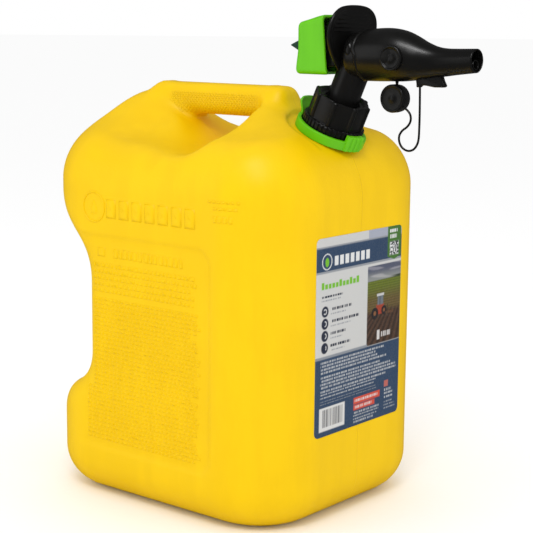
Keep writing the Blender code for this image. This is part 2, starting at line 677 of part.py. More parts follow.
def make_release_tab(mat, neck):
    """A springy tongue with a pawl at the collar's teeth; its tip is pulled back to free them."""
    pawl = SKIRT_RADIUS + PAWL_GAP
    inner = pawl + TAB_THICKNESS
    side = [(inner, 2 * GAP), (inner + TAB_THICKNESS, 2 * GAP), (inner + TAB_THICKNESS, RING_HEIGHT),
            (TAB_TIP_RADIUS, TAB_TIP_HEIGHT - RING_CHAMFER), (TAB_TIP_RADIUS - RING_CHAMFER, TAB_TIP_HEIGHT),
            (TAB_TIP_RADIUS - TAB_THICKNESS, TAB_TIP_HEIGHT - RING_CHAMFER), (inner, RING_HEIGHT + TAB_THICKNESS),
            (pawl, RING_HEIGHT), (pawl, RING_HEIGHT - TAB_THICKNESS), (inner, RING_HEIGHT - 2 * TAB_THICKNESS)]
    outline = [(-radius, height) for radius, height in side]
    piece("release_tab", plate_mesh("release_tab", outline, 2 * TAB_HALF_WIDTH, UPRIGHT_XZ), mat, neck)


def make_collar(mat, neck):
    """An eight-sided nut over a toothed skirt, open below, with a lip that holds the stem."""
    flat = COLLAR_ACROSS_FLATS / 2
    corner = flat / cos(pi / COLLAR_SIDES)
    angles = [(k + 0.5) * 2 * pi / COLLAR_SIDES for k in range(COLLAR_SIDES)]
    outline = [(corner * cos(a), corner * sin(a)) for a in angles]
    middle = (COLLAR_FACET_BOTTOM + COLLAR_TOP) / 2
    nut = plate_mesh("spout_collar", outline, COLLAR_TOP - COLLAR_FACET_BOTTOM,
                     Matrix.Translation((0, 0, middle)))
    collar = piece("spout_collar", nut, mat, neck)
    skirt = []
    for k in range(TEETH):
        for share, radius in TOOTH_SHARES:
            angle = (k + share) * 2 * pi / TEETH
            skirt.append((radius * cos(angle), radius * sin(angle)))
    depth = COLLAR_FACET_BOTTOM + OVERLAP - SKIRT_BOTTOM
    combine(collar, cutter(plate_mesh("skirt", skirt, depth,
                                      Matrix.Translation((0, 0, SKIRT_BOTTOM + depth / 2))), neck), "UNION")
    reach = corner - COLLAR_NUB_INSET
    for angle in angles:
        foot = Vector((reach * cos(angle), reach * sin(angle), COLLAR_FACET_BOTTOM + GAP))
        head = foot + Vector((0, 0, COLLAR_TOP - COLLAR_FACET_BOTTOM - 2 * GAP))
        combine(collar, cutter(rod_mesh("nub", foot, head, COLLAR_NUB_RADIUS, 8), neck), "UNION")
    lip = COLLAR_TOP - COLLAR_LIP_THICKNESS
    combine(collar, cutter(rod_mesh("collar_bore", (0, 0, SKIRT_BOTTOM - OVERCUT), (0, 0, lip),
                                    COLLAR_BORE, 32), neck), "DIFFERENCE")
    combine(collar, cutter(rod_mesh("lip_bore", (0, 0, lip - OVERLAP), (0, 0, COLLAR_TOP + OVERCUT),
                                    LIP_RADIUS, 32), neck), "DIFFERENCE")


# ================================================================ stem, gasket and screen
def make_gasket_and_screen(rubber, steel, neck):
    under = STEM_FLANGE_UNDER - GAP
    gasket = [(GASKET_INNER, under - GASKET_THICKNESS), (RIM_RADIUS, under - GASKET_THICKNESS),
              (RIM_RADIUS, under), (GASKET_INNER, under)]
    piece("neck_gasket", turned_mesh("neck_gasket", gasket, 32), rubber, neck)
    rim = NECK_HEIGHT + GAP
    floor = rim - SCREEN_DEPTH
    basket = [(SCREEN_RADIUS - SCREEN_WALL, rim + SCREEN_FLANGE), (SCREEN_RADIUS - SCREEN_WALL, floor),
              (SCREEN_RADIUS, floor), (SCREEN_RADIUS, rim), (RIM_RADIUS, rim), (RIM_RADIUS, rim + SCREEN_FLANGE)]
    screen = piece("flame_screen", turned_mesh("flame_screen", basket, 32), steel, neck)
    disc = rod_mesh("screen_floor", (0, 0, floor), (0, 0, floor + SCREEN_WALL), SCREEN_RADIUS - SCREEN_WALL / 2, 32)
    combine(screen, cutter(disc, neck), "UNION")
    reach = SCREEN_RADIUS + OVERCUT
    for k in range(SCREEN_WINDOWS // 2):
        slot = cutter(box_mesh("screen_window", (-reach, -WINDOW_HALF_WIDTH, floor + WINDOW_MARGIN),
                               (reach, WINDOW_HALF_WIDTH, rim - WINDOW_MARGIN)), neck)
        slot.rotation_euler = (0, 0, (k + 0.5) * 2 * pi / SCREEN_WINDOWS)
        combine(screen, slot, "DIFFERENCE")


def neck_point(height, forward=0.0):
    """World position on the neck's axis, or beside it towards the front."""
    return Vector((NECK_X + height * sin(NECK_TILT) + forward * cos(NECK_TILT), 0,
                   NECK_Z + height * cos(NECK_TILT) - forward * sin(NECK_TILT)))


def make_elbow(mat):
    """Stem, round housing and the guide block that the trigger slides on, in one moulding."""
    elbow = piece("elbow_body", rod_mesh("elbow_body", neck_point(STEM_FLANGE_UNDER), neck_point(STEM_FLANGE_TOP),
                                         STEM_FLANGE_RADIUS, 32), mat)
    front = BARREL_REAR - GAP
    before = GUIDE_REAR - OVERCUT
    pin = Vector((LATCH_PIVOT_X, 0, LATCH_PIVOT_Z))
    across = Vector((0, GUIDE_HALF_WIDTH + OVERCUT, 0))
    stem_end = neck_point(STEM_TOP + STEM_OVERRUN)
    guide_front = FLANGE_X - FLANGE_THICKNESS / 2 - FLANGE_SPACE
    for mesh in (rod_mesh("stem", neck_point(STEM_FLANGE_UNDER + OVERLAP), stem_end, STEM_RADIUS, 32),
                 rod_mesh("housing", (HOUSING_REAR, 0, BARREL_Z), (front, 0, BARREL_Z), HOUSING_RADIUS, 32),
                 rod_mesh("spigot", (front - OVERLAP, 0, BARREL_Z), (front + SPIGOT_LENGTH, 0, BARREL_Z),
                          SPIGOT_RADIUS, 32),
                 rod_mesh("boss", (LATCH_PIVOT_X, 0, BARREL_Z), (HOUSING_REAR + OVERLAP, 0, BARREL_Z),
                          BOSS_RADIUS, 24),
                 box_mesh("guide", (GUIDE_REAR, -GUIDE_HALF_WIDTH, GUIDE_BOTTOM),
                          (guide_front, GUIDE_HALF_WIDTH, GUIDE_TOP), GUIDE_ROUNDING, 1)):
        combine(elbow, cutter(mesh), "UNION")
    bore_end = neck_point(STEM_TOP - STEM_OVERRUN)
    for mesh in (rod_mesh("stem_bore", neck_point(STEM_FLANGE_UNDER - OVERCUT), bore_end, STEM_BORE, 32),
                 rod_mesh("housing_bore", (HOUSING_REAR + HOUSING_END_WALL, 0, BARREL_Z),
                          (front + SPIGOT_LENGTH + OVERCUT, 0, BARREL_Z), HOUSING_BORE, 32),
                 rod_mesh("rod_hole", (before, 0, ROD_Z), (BARREL_REAR, 0, ROD_Z), ROD_RADIUS + SLIDE_GAP, 12),
                 rod_mesh("spring_pocket", (before, 0, ROD_Z), (SPRING_FRONT + GAP, 0, ROD_Z), SPRING_POCKET, 16),
                 box_mesh("latch_slot", (before, -LATCH_HALF_WIDTH - SLIDE_GAP, ROD_Z),
                          (LATCH_SLOT_FRONT, LATCH_HALF_WIDTH + SLIDE_GAP, GUIDE_TOP + OVERCUT)),
                 rod_mesh("pin_hole", pin - across, pin + across, PIN_RADIUS + GAP, 12)):
        combine(elbow, cutter(mesh), "DIFFERENCE")


def make_air_tube(mat):
    """The breather tube that hangs from the stem into the can."""
    aside = neck_point(0.0, STEM_BORE - AIR_TUBE_RADIUS - GAP) - neck_point(0.0)
    start = neck_point(STEM_FLANGE_UNDER - AIR_TUBE_BELOW) + aside
    end = neck_point(STEM_FLANGE_UNDER + AIR_TUBE_ABOVE) + aside
    tube = piece("air_tube", rod_mesh("air_tube", start, end, AIR_TUBE_RADIUS, 16), mat)
    run = (end - start).normalized() * OVERCUT
    bore = rod_mesh("air_bore", start - run, end + run, AIR_TUBE_RADIUS - AIR_TUBE_WALL, 16)
    combine(tube, cutter(bore), "DIFFERENCE")


# ================================================================ nozzle
def barrel_section(x):
    """Height of the barrel's axis and its radius at a place along it."""
    along, rise, radius = np.array(BARREL_STATIONS).T
    return (BARREL_Z + float(np.interp(x - BARREL_REAR, along, rise)),
            float(np.interp(x - BARREL_REAR, along, radius)))


def barrel_rings(stations, shrink):
    """Rings of points around the barrel, drawn in from its outer skin by a wall."""
    angles = np.arange(BARREL_SIDES) * 2 * pi / BARREL_SIDES
    rings = []
    for x in stations:
        height, radius = barrel_section(x)
        rings.append([(x, (radius - shrink) * cos(a), height + (radius - shrink) * sin(a)) for a in angles])
    return rings


def make_barrel(mat):
    """The nozzle: a tapering shell that narrows to a standard tip, with a hook beneath."""
    stations = [BARREL_REAR + run for run, _, _ in BARREL_STATIONS]
    outer = barrel_rings(stations, 0.0)
    inner = barrel_rings(stations, BARREL_WALL)
    barrel = piece("nozzle_barrel", loft_mesh("nozzle_barrel", outer + inner[::-1], caps=False), mat)
    hook = [(BARREL_REAR + run, BARREL_BOTTOM + rise) for run, rise in HOOK_OUTLINE]
    combine(barrel, cutter(plate_mesh("hook", hook, 2 * HOOK_HALF_THICKNESS, UPRIGHT_XZ)), "UNION")
    stub = rod_mesh("cap_stub", (STUB_X, 0, CAP_Z + CAP_RADIUS + GAP), (STUB_X, 0, BARREL_BOTTOM + 2 * BARREL_WALL),
                    STUB_RADIUS, 10)
    combine(barrel, cutter(stub), "UNION")
    longer = [stations[0] - OVERCUT] + stations + [TIP_X + OVERCUT]
    combine(barrel, cutter(loft_mesh("barrel_hollow", barrel_rings(longer, BARREL_WALL))), "DIFFERENCE")
    notch_top = neck_point(STEM_TOP + STEM_OVERRUN + SLIDE_GAP)
    combine(barrel, cutter(rod_mesh("stem_notch", neck_point(COLLAR_TOP), notch_top, STEM_RADIUS + SLIDE_GAP, 32)),
            "DIFFERENCE")
    level = barrel_section(BADGE_X)[1] - BADGE_DEPTH
    for side in (-1, 1):
        recess = rod_mesh("badge_recess", (BADGE_X, side * level, BARREL_Z),
                          (BADGE_X, side * (level + OVERCUT), BARREL_Z), BADGE_RADIUS + GAP, 24)
        combine(barrel, cutter(recess), "DIFFERENCE")


def make_badges(mat):
    """Plain round inserts in the nozzle's two sides."""
    radius = barrel_section(BADGE_X)[1]
    for name, side in (("badge_right", -1), ("badge_left", 1)):
        inner = side * (radius - BADGE_DEPTH + GAP)
        outer = side * (radius + BADGE_PROUD)
        piece(name, rod_mesh(name, (BADGE_X, inner, BARREL_Z), (BADGE_X, outer, BARREL_Z), BADGE_RADIUS, 24), mat)


def make_vent_tube(mat):
    """The air pipe that shows at the bottom of the nozzle's mouth."""
    height, radius = barrel_section(TIP_X)
    end = Vector((TIP_X - VENT_INSET, 0, height - radius + BARREL_WALL + VENT_RADIUS + GAP))
    height, radius = barrel_section(VENT_REAR)
    start = Vector((VENT_REAR, 0, height - radius + BARREL_WALL + VENT_RADIUS + GAP + VENT_RISE))
    run = (end - start).normalized() * OVERCUT
    tube = piece("vent_tube", rod_mesh("vent_tube", start, end, VENT_RADIUS, 16), mat)
    bore = rod_mesh("vent_bore", start - run, end + run, VENT_RADIUS - VENT_WALL, 16)
    combine(tube, cutter(bore), "DIFFERENCE")


def make_flange(mat):
    """The finger flange: a shield-shaped plate behind the barrel, leaning forward."""
    outline = list(FLANGE_OUTLINE) + [(-u, v) for u, v in FLANGE_OUTLINE[::-1]]
    place = Matrix.Translation((FLANGE_X, 0, BARREL_Z)) @ Matrix.Rotation(FLANGE_LEAN, 4, "Y") @ UPRIGHT_YZ
    flange = piece("finger_flange", plate_mesh("finger_flange", outline, FLANGE_THICKNESS, place), mat)
    boss = rod_mesh("boss_hole", (FLANGE_X - OVERCUT, 0, BARREL_Z), (FLANGE_X + OVERCUT, 0, BARREL_Z),
                    BOSS_RADIUS + GAP, 24)
    combine(flange, cutter(boss), "DIFFERENCE")
    stem = rod_mesh("stem_hole", neck_point(COLLAR_TOP), neck_point(STEM_TOP + STEM_OVERRUN + GAP),
                    STEM_RADIUS + GAP, 32)
    combine(flange, cutter(stem), "DIFFERENCE")


# ================================================================ valve
def make_valve(plastic, rubber, steel):
    """A seat in the nozzle and the poppet, seal and rod that the trigger pushes off it."""
    seat_front = SEAT_X + SEAT_THICKNESS
    centre, radius = barrel_section(seat_front)
    seat = piece("valve_seat", rod_mesh("valve_seat", (SEAT_X, 0, centre), (seat_front, 0, centre),
                                        radius - BARREL_WALL - GAP - SEAT_INSET, BARREL_SIDES), plastic)
    combine(seat, cutter(rod_mesh("seat_bore", (SEAT_X - OVERCUT, 0, ROD_Z), (seat_front + OVERCUT, 0, ROD_Z),
                                  VALVE_SEAT_BORE, 20)), "DIFFERENCE")
    face = seat_front + GAP
    seal = [(POPPET_HUB + SEAL_GAP, 0.0), (SEAL_RADIUS, 0.0), (SEAL_RADIUS, SEAL_THICKNESS),
            (POPPET_HUB + SEAL_GAP, SEAL_THICKNESS)]
    ring = piece("poppet_seal", turned_mesh("poppet_seal", seal, 24), rubber)
    ring.rotation_euler = (0, pi / 2, 0)
    ring.location = (face, 0, ROD_Z)
    head = face + SEAL_THICKNESS + GAP
    cone = rod_mesh("valve_poppet", (head, 0, ROD_Z), (head + POPPET_THICKNESS, 0, ROD_Z), POPPET_RADIUS, 24,
                    POPPET_RADIUS * POPPET_NOSE)
    poppet = piece("valve_poppet", cone, plastic)
    combine(poppet, cutter(rod_mesh("poppet_hub", (face, 0, ROD_Z), (head + OVERLAP, 0, ROD_Z), POPPET_HUB, 20)),
            "UNION")
    combine(poppet, cutter(rod_mesh("poppet_socket", (face - OVERCUT, 0, ROD_Z), (head + SOCKET_DEPTH, 0, ROD_Z),
                                    ROD_RADIUS + GAP, 16)), "DIFFERENCE")
    piece("valve_rod", rod_mesh("valve_rod", (TRIGGER_REAR + TRIGGER_WALL + GAP, 0, ROD_Z),
                                (head + SOCKET_DEPTH - GAP, 0, ROD_Z), ROD_RADIUS, 12), steel)


def make_spring(mat):
    """The return spring between the trigger and the guide block's pocket."""
    rear = TRIGGER_REAR + TRIGGER_WALL + GAP + SPRING_WIRE
    front = SPRING_FRONT - SPRING_WIRE
    turns = np.linspace(0.0, SPRING_TURNS * 2 * pi, SPRING_TURNS * SPRING_STEPS + 1)
    along = np.linspace(rear, front, len(turns))
    points = np.stack([along, SPRING_RADIUS * np.cos(turns), ROD_Z + SPRING_RADIUS * np.sin(turns)], axis=1)
    piece("trigger_spring", tube_mesh("trigger_spring", points, SPRING_WIRE, 0), mat)


# ================================================================ trigger and latch
def wedge_block(name, inset, rounding, segments):
    """The trigger's block, drawn in by an inset on all sides but the front, edges rounded."""
    low = (TRIGGER_REAR + inset, -TRIGGER_HALF_WIDTH + inset, TRIGGER_BOTTOM + inset)
    high = (TRIGGER_FRONT + OVERCUT, TRIGGER_HALF_WIDTH - inset, TRIGGER_TOP - inset)
    mesh = box_mesh(name, low, high, rounding, segments)
    points = np.array([vertex.co[:] for vertex in mesh.vertices])
    fall = (TRIGGER_TOP - TRIGGER_REAR_TOP) / (TRIGGER_FRONT - TRIGGER_REAR)
    share = (points[:, 2] - TRIGGER_BOTTOM) / (TRIGGER_TOP - TRIGGER_BOTTOM)
    points[:, 2] -= share * fall * (TRIGGER_FRONT - points[:, 0])
    mesh.vertices.foreach_set("co", points.ravel())
    mesh.update()
    return mesh


def make_trigger(mat):
    """A thumb trigger: a cap that is open in front and slides over the guide block."""
    wall = TRIGGER_WALL
    trigger = piece("trigger", wedge_block("trigger", 0.0, TRIGGER_ROUNDING, 3), mat)
    inside_rounding = TRIGGER_ROUNDING - TRIGGER_WALL
    combine(trigger, cutter(wedge_block("trigger_inside", wall, inside_rounding, 1)), "DIFFERENCE")
    half = TRIGGER_HALF_WIDTH + OVERCUT
    ahead = TRIGGER_FRONT + 2 * OVERCUT
    front = [(TRIGGER_FRONT, TRIGGER_BOTTOM - OVERCUT), (ahead, TRIGGER_BOTTOM - OVERCUT),
             (ahead, TRIGGER_TOP + OVERCUT), (TRIGGER_FRONT - TRIGGER_SLANT, TRIGGER_TOP + OVERCUT)]
    combine(trigger, cutter(plate_mesh("trigger_mouth", front, 2 * half, UPRIGHT_XZ)), "DIFFERENCE")
    clear_x = neck_point((TRIGGER_BOTTOM - NECK_Z) / cos(NECK_TILT)).x
    clear_x -= STEM_RADIUS / cos(NECK_TILT) + TRIGGER_TRAVEL + 2 * SLIDE_GAP
    half = TRIGGER_HALF_WIDTH - wall - GAP
    clearance = box_mesh("stem_clearance", (clear_x, -half, TRIGGER_BOTTOM - OVERCUT),
                         (TRIGGER_FRONT + OVERCUT, half, TRIGGER_BOTTOM + 2 * wall))
    combine(trigger, cutter(clearance), "DIFFERENCE")
    half = LATCH_HALF_WIDTH + WINDOW_GAP
    window = box_mesh("latch_window", (TRIGGER_REAR - OVERCUT, -half, WINDOW_LOW),
                      (TRIGGER_REAR + wall + OVERLAP, half, WINDOW_HIGH))
    combine(trigger, cutter(window), "DIFFERENCE")


def make_latch(mat, steel):
    """The child-safety latch: a lever on a pin whose beak stands out behind the trigger."""
    side = [(LATCH_PIVOT_X + run, LATCH_PIVOT_Z + rise) for run, rise in LATCH_OUTLINE]
    latch = piece("safety_latch", plate_mesh("safety_latch", side, 2 * LATCH_HALF_WIDTH, UPRIGHT_XZ), mat)
    pin = Vector((LATCH_PIVOT_X, 0, LATCH_PIVOT_Z))
    across = Vector((0, GUIDE_HALF_WIDTH - WINDOW_GAP, 0))
    combine(latch, cutter(rod_mesh("latch_eye", pin - across, pin + across, PIN_RADIUS + GAP, 12)), "DIFFERENCE")
    piece("latch_pin", rod_mesh("latch_pin", pin - across, pin + across, PIN_RADIUS, 12), steel)


# ================================================================ dust cap and tether
def make_cap(mat, liner_mat):
    """A round cap for the nozzle's tip, stored under the barrel, open towards +Y."""
    start, end = Vector((CAP_X, -CAP_LENGTH / 2, CAP_Z)), Vector((CAP_X, CAP_LENGTH / 2, CAP_Z))
    cap = piece("dust_cap", rod_mesh("dust_cap", start, end, CAP_RADIUS, 32), mat)
    inner = CAP_RADIUS - CAP_WALL
    inside = Vector((0, CAP_END_WALL, 0))
    combine(cap, cutter(rod_mesh("cap_inside", start + inside, end + inside, inner, 32)), "DIFFERENCE")
    liner = [(LINER_HOLE, 0.0), (inner - GAP, 0.0), (inner - GAP, LINER_THICKNESS), (LINER_HOLE, LINER_THICKNESS)]
    disc = piece("cap_liner", turned_mesh("cap_liner", liner, 28), liner_mat)
    disc.rotation_euler = (-pi / 2, 0, 0)
    disc.location = start + inside + Vector((0, GAP, 0))


def make_tether(mat):
    """The moulded strap from the hook's block round to the cap."""
    line = smooth_route(TETHER_ROUTE, TETHER_POINTS)
    points = [(BARREL_REAR + run, 0.0, BARREL_Z + rise) for run, rise in line]
    piece("cap_tether", tube_mesh("cap_tether", points, TETHER_RADIUS, 2), mat)


# ================================================================ assembly
def main():
    clear_scene()
    yellow = material("yellow_polyethylene", (0.90, 0.62, 0.005), 0.42)
    green = material("green_plastic", (0.13, 0.60, 0.005), 0.40)
    black = material("black_plastic", (0.012, 0.012, 0.012), 0.38)
    soft_black = material("black_rubber", (0.020, 0.020, 0.020), 0.70)
    dark_green = material("dark_green_plastic", (0.010, 0.060, 0.035), 0.45)
    white = material("natural_plastic", (0.75, 0.74, 0.70), 0.45)
    steel = material("steel", (0.55, 0.55, 0.56), 0.30, 1.0)
    print_film = material("printed_film", (0.05, 0.10, 0.20), 0.35)
    neck = empty("neck_axis", (NECK_X, 0, NECK_Z), (0, NECK_TILT, 0))
    make_can_body(yellow, neck)
    make_label(print_film)
    make_lock_ring(green, neck)
    make_release_tab(green, neck)
    make_collar(black, neck)
    make_gasket_and_screen(soft_black, steel, neck)
    make_elbow(black)
    make_air_tube(white)
    make_barrel(black)
    make_badges(black)
    make_vent_tube(black)
    make_flange(black)
    make_valve(white, soft_black, steel)
    make_spring(steel)
    make_trigger(green)
    make_latch(dark_green, steel)
    make_cap(black, soft_black)
    make_tether(black)


main()
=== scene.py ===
"""Looks of the five gallon fuel can with a trigger-operated pouring spout.

Metres, +Z up, +X the front, and the can is symmetric about Y = 0.  Every shape is a surface
worked out from the formula that its function states.
"""
from math import cos, pi, radians, sin

import bpy
import numpy as np
from mathutils import Matrix, Vector


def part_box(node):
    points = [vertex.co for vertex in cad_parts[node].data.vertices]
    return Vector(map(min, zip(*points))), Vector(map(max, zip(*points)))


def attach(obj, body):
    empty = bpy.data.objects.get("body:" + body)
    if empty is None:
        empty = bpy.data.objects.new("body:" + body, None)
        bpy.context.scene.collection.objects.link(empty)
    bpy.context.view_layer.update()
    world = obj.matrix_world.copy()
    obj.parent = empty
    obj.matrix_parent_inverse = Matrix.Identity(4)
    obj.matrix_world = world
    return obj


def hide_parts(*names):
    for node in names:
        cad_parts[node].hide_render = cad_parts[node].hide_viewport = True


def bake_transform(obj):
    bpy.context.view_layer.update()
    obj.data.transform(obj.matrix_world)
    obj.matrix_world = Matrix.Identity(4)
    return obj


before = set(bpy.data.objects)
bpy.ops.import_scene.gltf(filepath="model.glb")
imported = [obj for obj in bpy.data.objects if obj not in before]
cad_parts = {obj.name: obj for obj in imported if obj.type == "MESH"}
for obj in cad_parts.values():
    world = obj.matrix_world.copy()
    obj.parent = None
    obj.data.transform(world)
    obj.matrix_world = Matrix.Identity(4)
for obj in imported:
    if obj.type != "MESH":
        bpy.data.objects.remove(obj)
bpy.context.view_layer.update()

# ---------------------------------------------------------------- sizes of the can
HALF_LENGTH = 0.1515
HALF_WIDTH = 0.1295
CAN_HEIGHT = 0.400
CORNER_RADIUS = 0.0715
BASE_FILLET = 0.0392
TOP_FILLET = 0.038
NECK_TILT = radians(24.5)
NECK_X = 0.1125
NECK_Z = 0.3565
NECK_RADIUS = 0.0222
NECK_BORE = 0.0190
NECK_HEIGHT = 0.0280
BARREL_REAR = 0.1500
BARREL_Z = 0.4300
BARREL_WALL = 0.0024
STEM_RADIUS = 0.0150
STEM_BORE = 0.0122
STEM_TOP = (BARREL_Z - NECK_Z) / cos(NECK_TILT)
HOUSING_RADIUS = 0.0212
PANEL_LOW, PANEL_HIGH, PANEL_FRONT, PANEL_REAR = 0.050, 0.261, 0.081, -0.135
PANEL_DEPTH = 0.0016
PANEL_CORNER = 0.017
SHOULDER_Z = CAN_HEIGHT - 0.059          # roof height at the side walls
RIDGE_RISE = 0.056                       # how much higher the roof stands at the middle
TENT_WIDTH = 0.054                       # half width at which it has dropped half way
ROOF_STEEPNESS = 0.85
POCKET_DEPTH, POCKET_CENTRE, POCKET_LENGTH = 0.024, -0.028, 0.055    # where it narrows for the hand
REAR_SLOPE, REAR_SLOPE_START = radians(27.0), -0.103
SEAT_RADIUS, SEAT_RIM = 0.0415, 0.0040
HOLE_FRONT, HOLE_REAR, HOLE_REAR_Z, HOLE_SLOPE = 0.050, -0.058, 0.370, radians(35.0)
HOLE_FLOOR, HOLE_FLOOR_RISE, HOLE_FLOOR_FLAT = 0.322, 0.22, 0.030
HANDLE_HALF_WIDTH, HANDLE_HALF_HEIGHT, HANDLE_ROUNDING = 0.0165, 0.0150, 0.0115
HANDLE_FRONT, HANDLE_REAR, HANDLE_Z = 0.068, -0.098, 0.3845
GRIP_DEPTH, GRIP_LOW, GRIP_HIGH = 0.066, 0.117, 0.244
GRIP_LOW_SLOPE, GRIP_HIGH_SLOPE = (0.275, 0.86), (0.45, 0.80)
SKIN_CELL = 0.0030                       # grid that the can's skin is read from


# ================================================================ camera, light and floor
def place_camera():
    """A long lens, a little above the can's middle and off its front right corner."""
    azimuth, elevation, roll = radians(39.329), radians(9.818), radians(0.531)
    back = Vector((sin(azimuth) * cos(elevation), -cos(azimuth) * cos(elevation), sin(elevation)))
    level = Vector((cos(azimuth), sin(azimuth), 0.0))
    right = level * cos(roll) + back.cross(level) * sin(roll)
    place = Matrix((right, back.cross(right), back)).transposed().to_4x4()
    place.translation = (0.9045, -1.0561, 0.4606)
    lens = bpy.data.cameras.new("camera")
    lens.sensor_width = 36.0
    lens.lens = 96.07
    camera = bpy.data.objects.new("camera", lens)
    camera.matrix_world = place
    bpy.context.scene.collection.objects.link(camera)
    bpy.context.scene.camera = camera
    bpy.context.scene.view_settings.view_transform = "Standard"


def place_light(name, place, target, size, power, diffuse=True):
    """A soft oblong lamp that faces a point; one without diffuse light only shows in gloss."""
    lamp = bpy.data.lights.new(name, "AREA")
    lamp.shape = "RECTANGLE"
    lamp.size, lamp.size_y = size
    lamp.energy = power
    holder = bpy.data.objects.new(name, lamp)
    holder.location = place
    holder.visible_diffuse = diffuse
    holder.rotation_euler = (Vector(place) - Vector(target)).to_track_quat("Z", "Y").to_euler()
    bpy.context.scene.collection.objects.link(holder)


def make_studio():
    """A pale floor, an even white surround and four soft lamps."""
    world = bpy.data.worlds.new("surround")
    world.use_nodes = True
    nodes = Nodes(world.node_tree)
    gloss = nodes.add("ShaderNodeLightPath").outputs["Is Glossy Ray"]
    sky = world.node_tree.nodes["Background"]
    sky.inputs["Color"].default_value = (1.0, 1.0, 1.0, 1.0)
    nodes.put(nodes.math("SUBTRACT", 1.0, nodes.math("MULTIPLY", gloss, 0.90)), sky.inputs["Strength"])
    bpy.context.scene.world = world
    place_light("key", (0.75, -1.05, 1.45), (0.05, -0.05, 0.25), (0.55, 0.45), 8.0)
    place_light("side", (-0.9, -1.3, 0.7), (0.0, 0.0, 0.2), (0.8, 1.4), 2.5)
    place_light("front", (1.6, 0.3, 0.6), (0.1, 0.0, 0.2), (0.6, 1.2), 1.0)
    place_light("sheen", (0.35, -0.75, 1.75), (0.1, -0.02, 0.35), (0.50, 0.30), 9.0, diffuse=False)
    flat = turned([(0.002, 0.0), (1.0, 0.0), (3.0, 0.0), (9.0, 0.0), (40.0, 0.0)], 96)
    surface("floor", flat, studio_floor(), close_rows=True)


# ================================================================ surfaces
def grid_quads(rows, columns, close_rows=False, close_columns=False):
    """Four-cornered faces between neighbouring points of a grid, wrapped where it closes."""
    i = np.arange(rows if close_rows else rows - 1)
    j = np.arange(columns if close_columns else columns - 1)
    i, j = np.meshgrid(i, j, indexing="ij")
    up, on = (i + 1) % rows, (j + 1) % columns
    corners = [i * columns + j, i * columns + on, up * columns + on, up * columns + j]
    return np.stack(corners, axis=-1).reshape(-1, 4)


def make_mesh(name, points, quads, caps=()):
    """Points and faces put into a smooth mesh."""
    mesh = bpy.data.meshes.new(name)
    mesh.from_pydata(points, [], quads.tolist() + [list(cap) for cap in caps])
    mesh.update()
    mesh.shade_smooth()
    return mesh


def show(name, mesh, material):
    mesh.materials.append(material)
    obj = bpy.data.objects.new(name, mesh)
    bpy.context.scene.collection.objects.link(obj)
    return obj


def volume(points, faces):
    """Signed volume under a fan of each face's corners: positive when faces point outwards."""
    corners = points[faces]
    total = np.einsum("ij,ij->i", corners[:, 0], np.cross(corners[:, 1], corners[:, 2])).sum()
    return total + np.einsum("ij,ij->i", corners[:, 0], np.cross(corners[:, 2], corners[:, 3])).sum()


def surface(name, grid, material, close_rows=False, close_columns=False, ends=False):
    """A piece from a grid of points; its two end rows may be closed by flat caps."""
    rows, columns = grid.shape[:2]
    points = grid.reshape(-1, 3)
    quads = grid_quads(rows, columns, close_rows, close_columns)
    caps = []
    if ends:
        caps = [np.arange(columns)[::-1], np.arange(columns) + (rows - 1) * columns]
    closed = ends or (close_rows and close_columns)
    if closed and volume(points - points.mean(axis=0), quads) < 0:
        quads = quads[:, ::-1]
        caps = [cap[::-1] for cap in caps]
    return show(name, make_mesh(name, points, quads, caps), material)


def ringed(name, grid, material):
    """A piece whose grid joins up with itself both ways."""
    return surface(name, grid, material, close_rows=True, close_columns=True)


def capped(name, grid, material):
    """A piece whose columns join up and whose end rows are closed by flat caps."""
    return surface(name, grid, material, close_columns=True, ends=True)


def rounded_profile(corners, radii, steps=5):
    """A polygon whose corners are replaced by arcs, drawn as quadratic curves of equal reach."""
    corners = np.array(corners, dtype=float)
    radii = np.broadcast_to(np.array(radii, dtype=float), len(corners))
    before, after = np.roll(corners, 1, axis=0) - corners, np.roll(corners, -1, axis=0) - corners
    long_before = np.linalg.norm(before, axis=1, keepdims=True)
    long_after = np.linalg.norm(after, axis=1, keepdims=True)
    reach_before = np.minimum(radii[:, None], 0.48 * long_before)
    reach_after = np.minimum(radii[:, None], 0.48 * long_after)
    first = corners + before / long_before * reach_before
    last = corners + after / long_after * reach_after
    t = np.linspace(0.0, 1.0, steps)[None, :, None]
    arcs = (1 - t) ** 2 * first[:, None] + 2 * t * (1 - t) * corners[:, None] + t ** 2 * last[:, None]
    return arcs.reshape(-1, 2)


def finer(profile, spacing):
    """A closed profile with points added so that none are further apart than the spacing."""
    profile = np.asarray(profile)
    nxt = np.roll(profile, -1, axis=0)
    counts = np.maximum(np.ceil(np.linalg.norm(nxt - profile, axis=1) / spacing).astype(int), 1)
    start = np.repeat(profile, counts, axis=0)
    end = np.repeat(nxt, counts, axis=0)
    first = np.repeat(np.cumsum(counts) - counts, counts)
    share = (np.arange(counts.sum()) - first) / np.repeat(counts, counts)
    return start + (end - start) * share[:, None]


def smooth_step(value, low, high):
    """0 below low, 1 above high, and a cubic between them."""
    t = np.clip((value - low) / (high - low), 0.0, 1.0)
    return t * t * (3 - 2 * t)


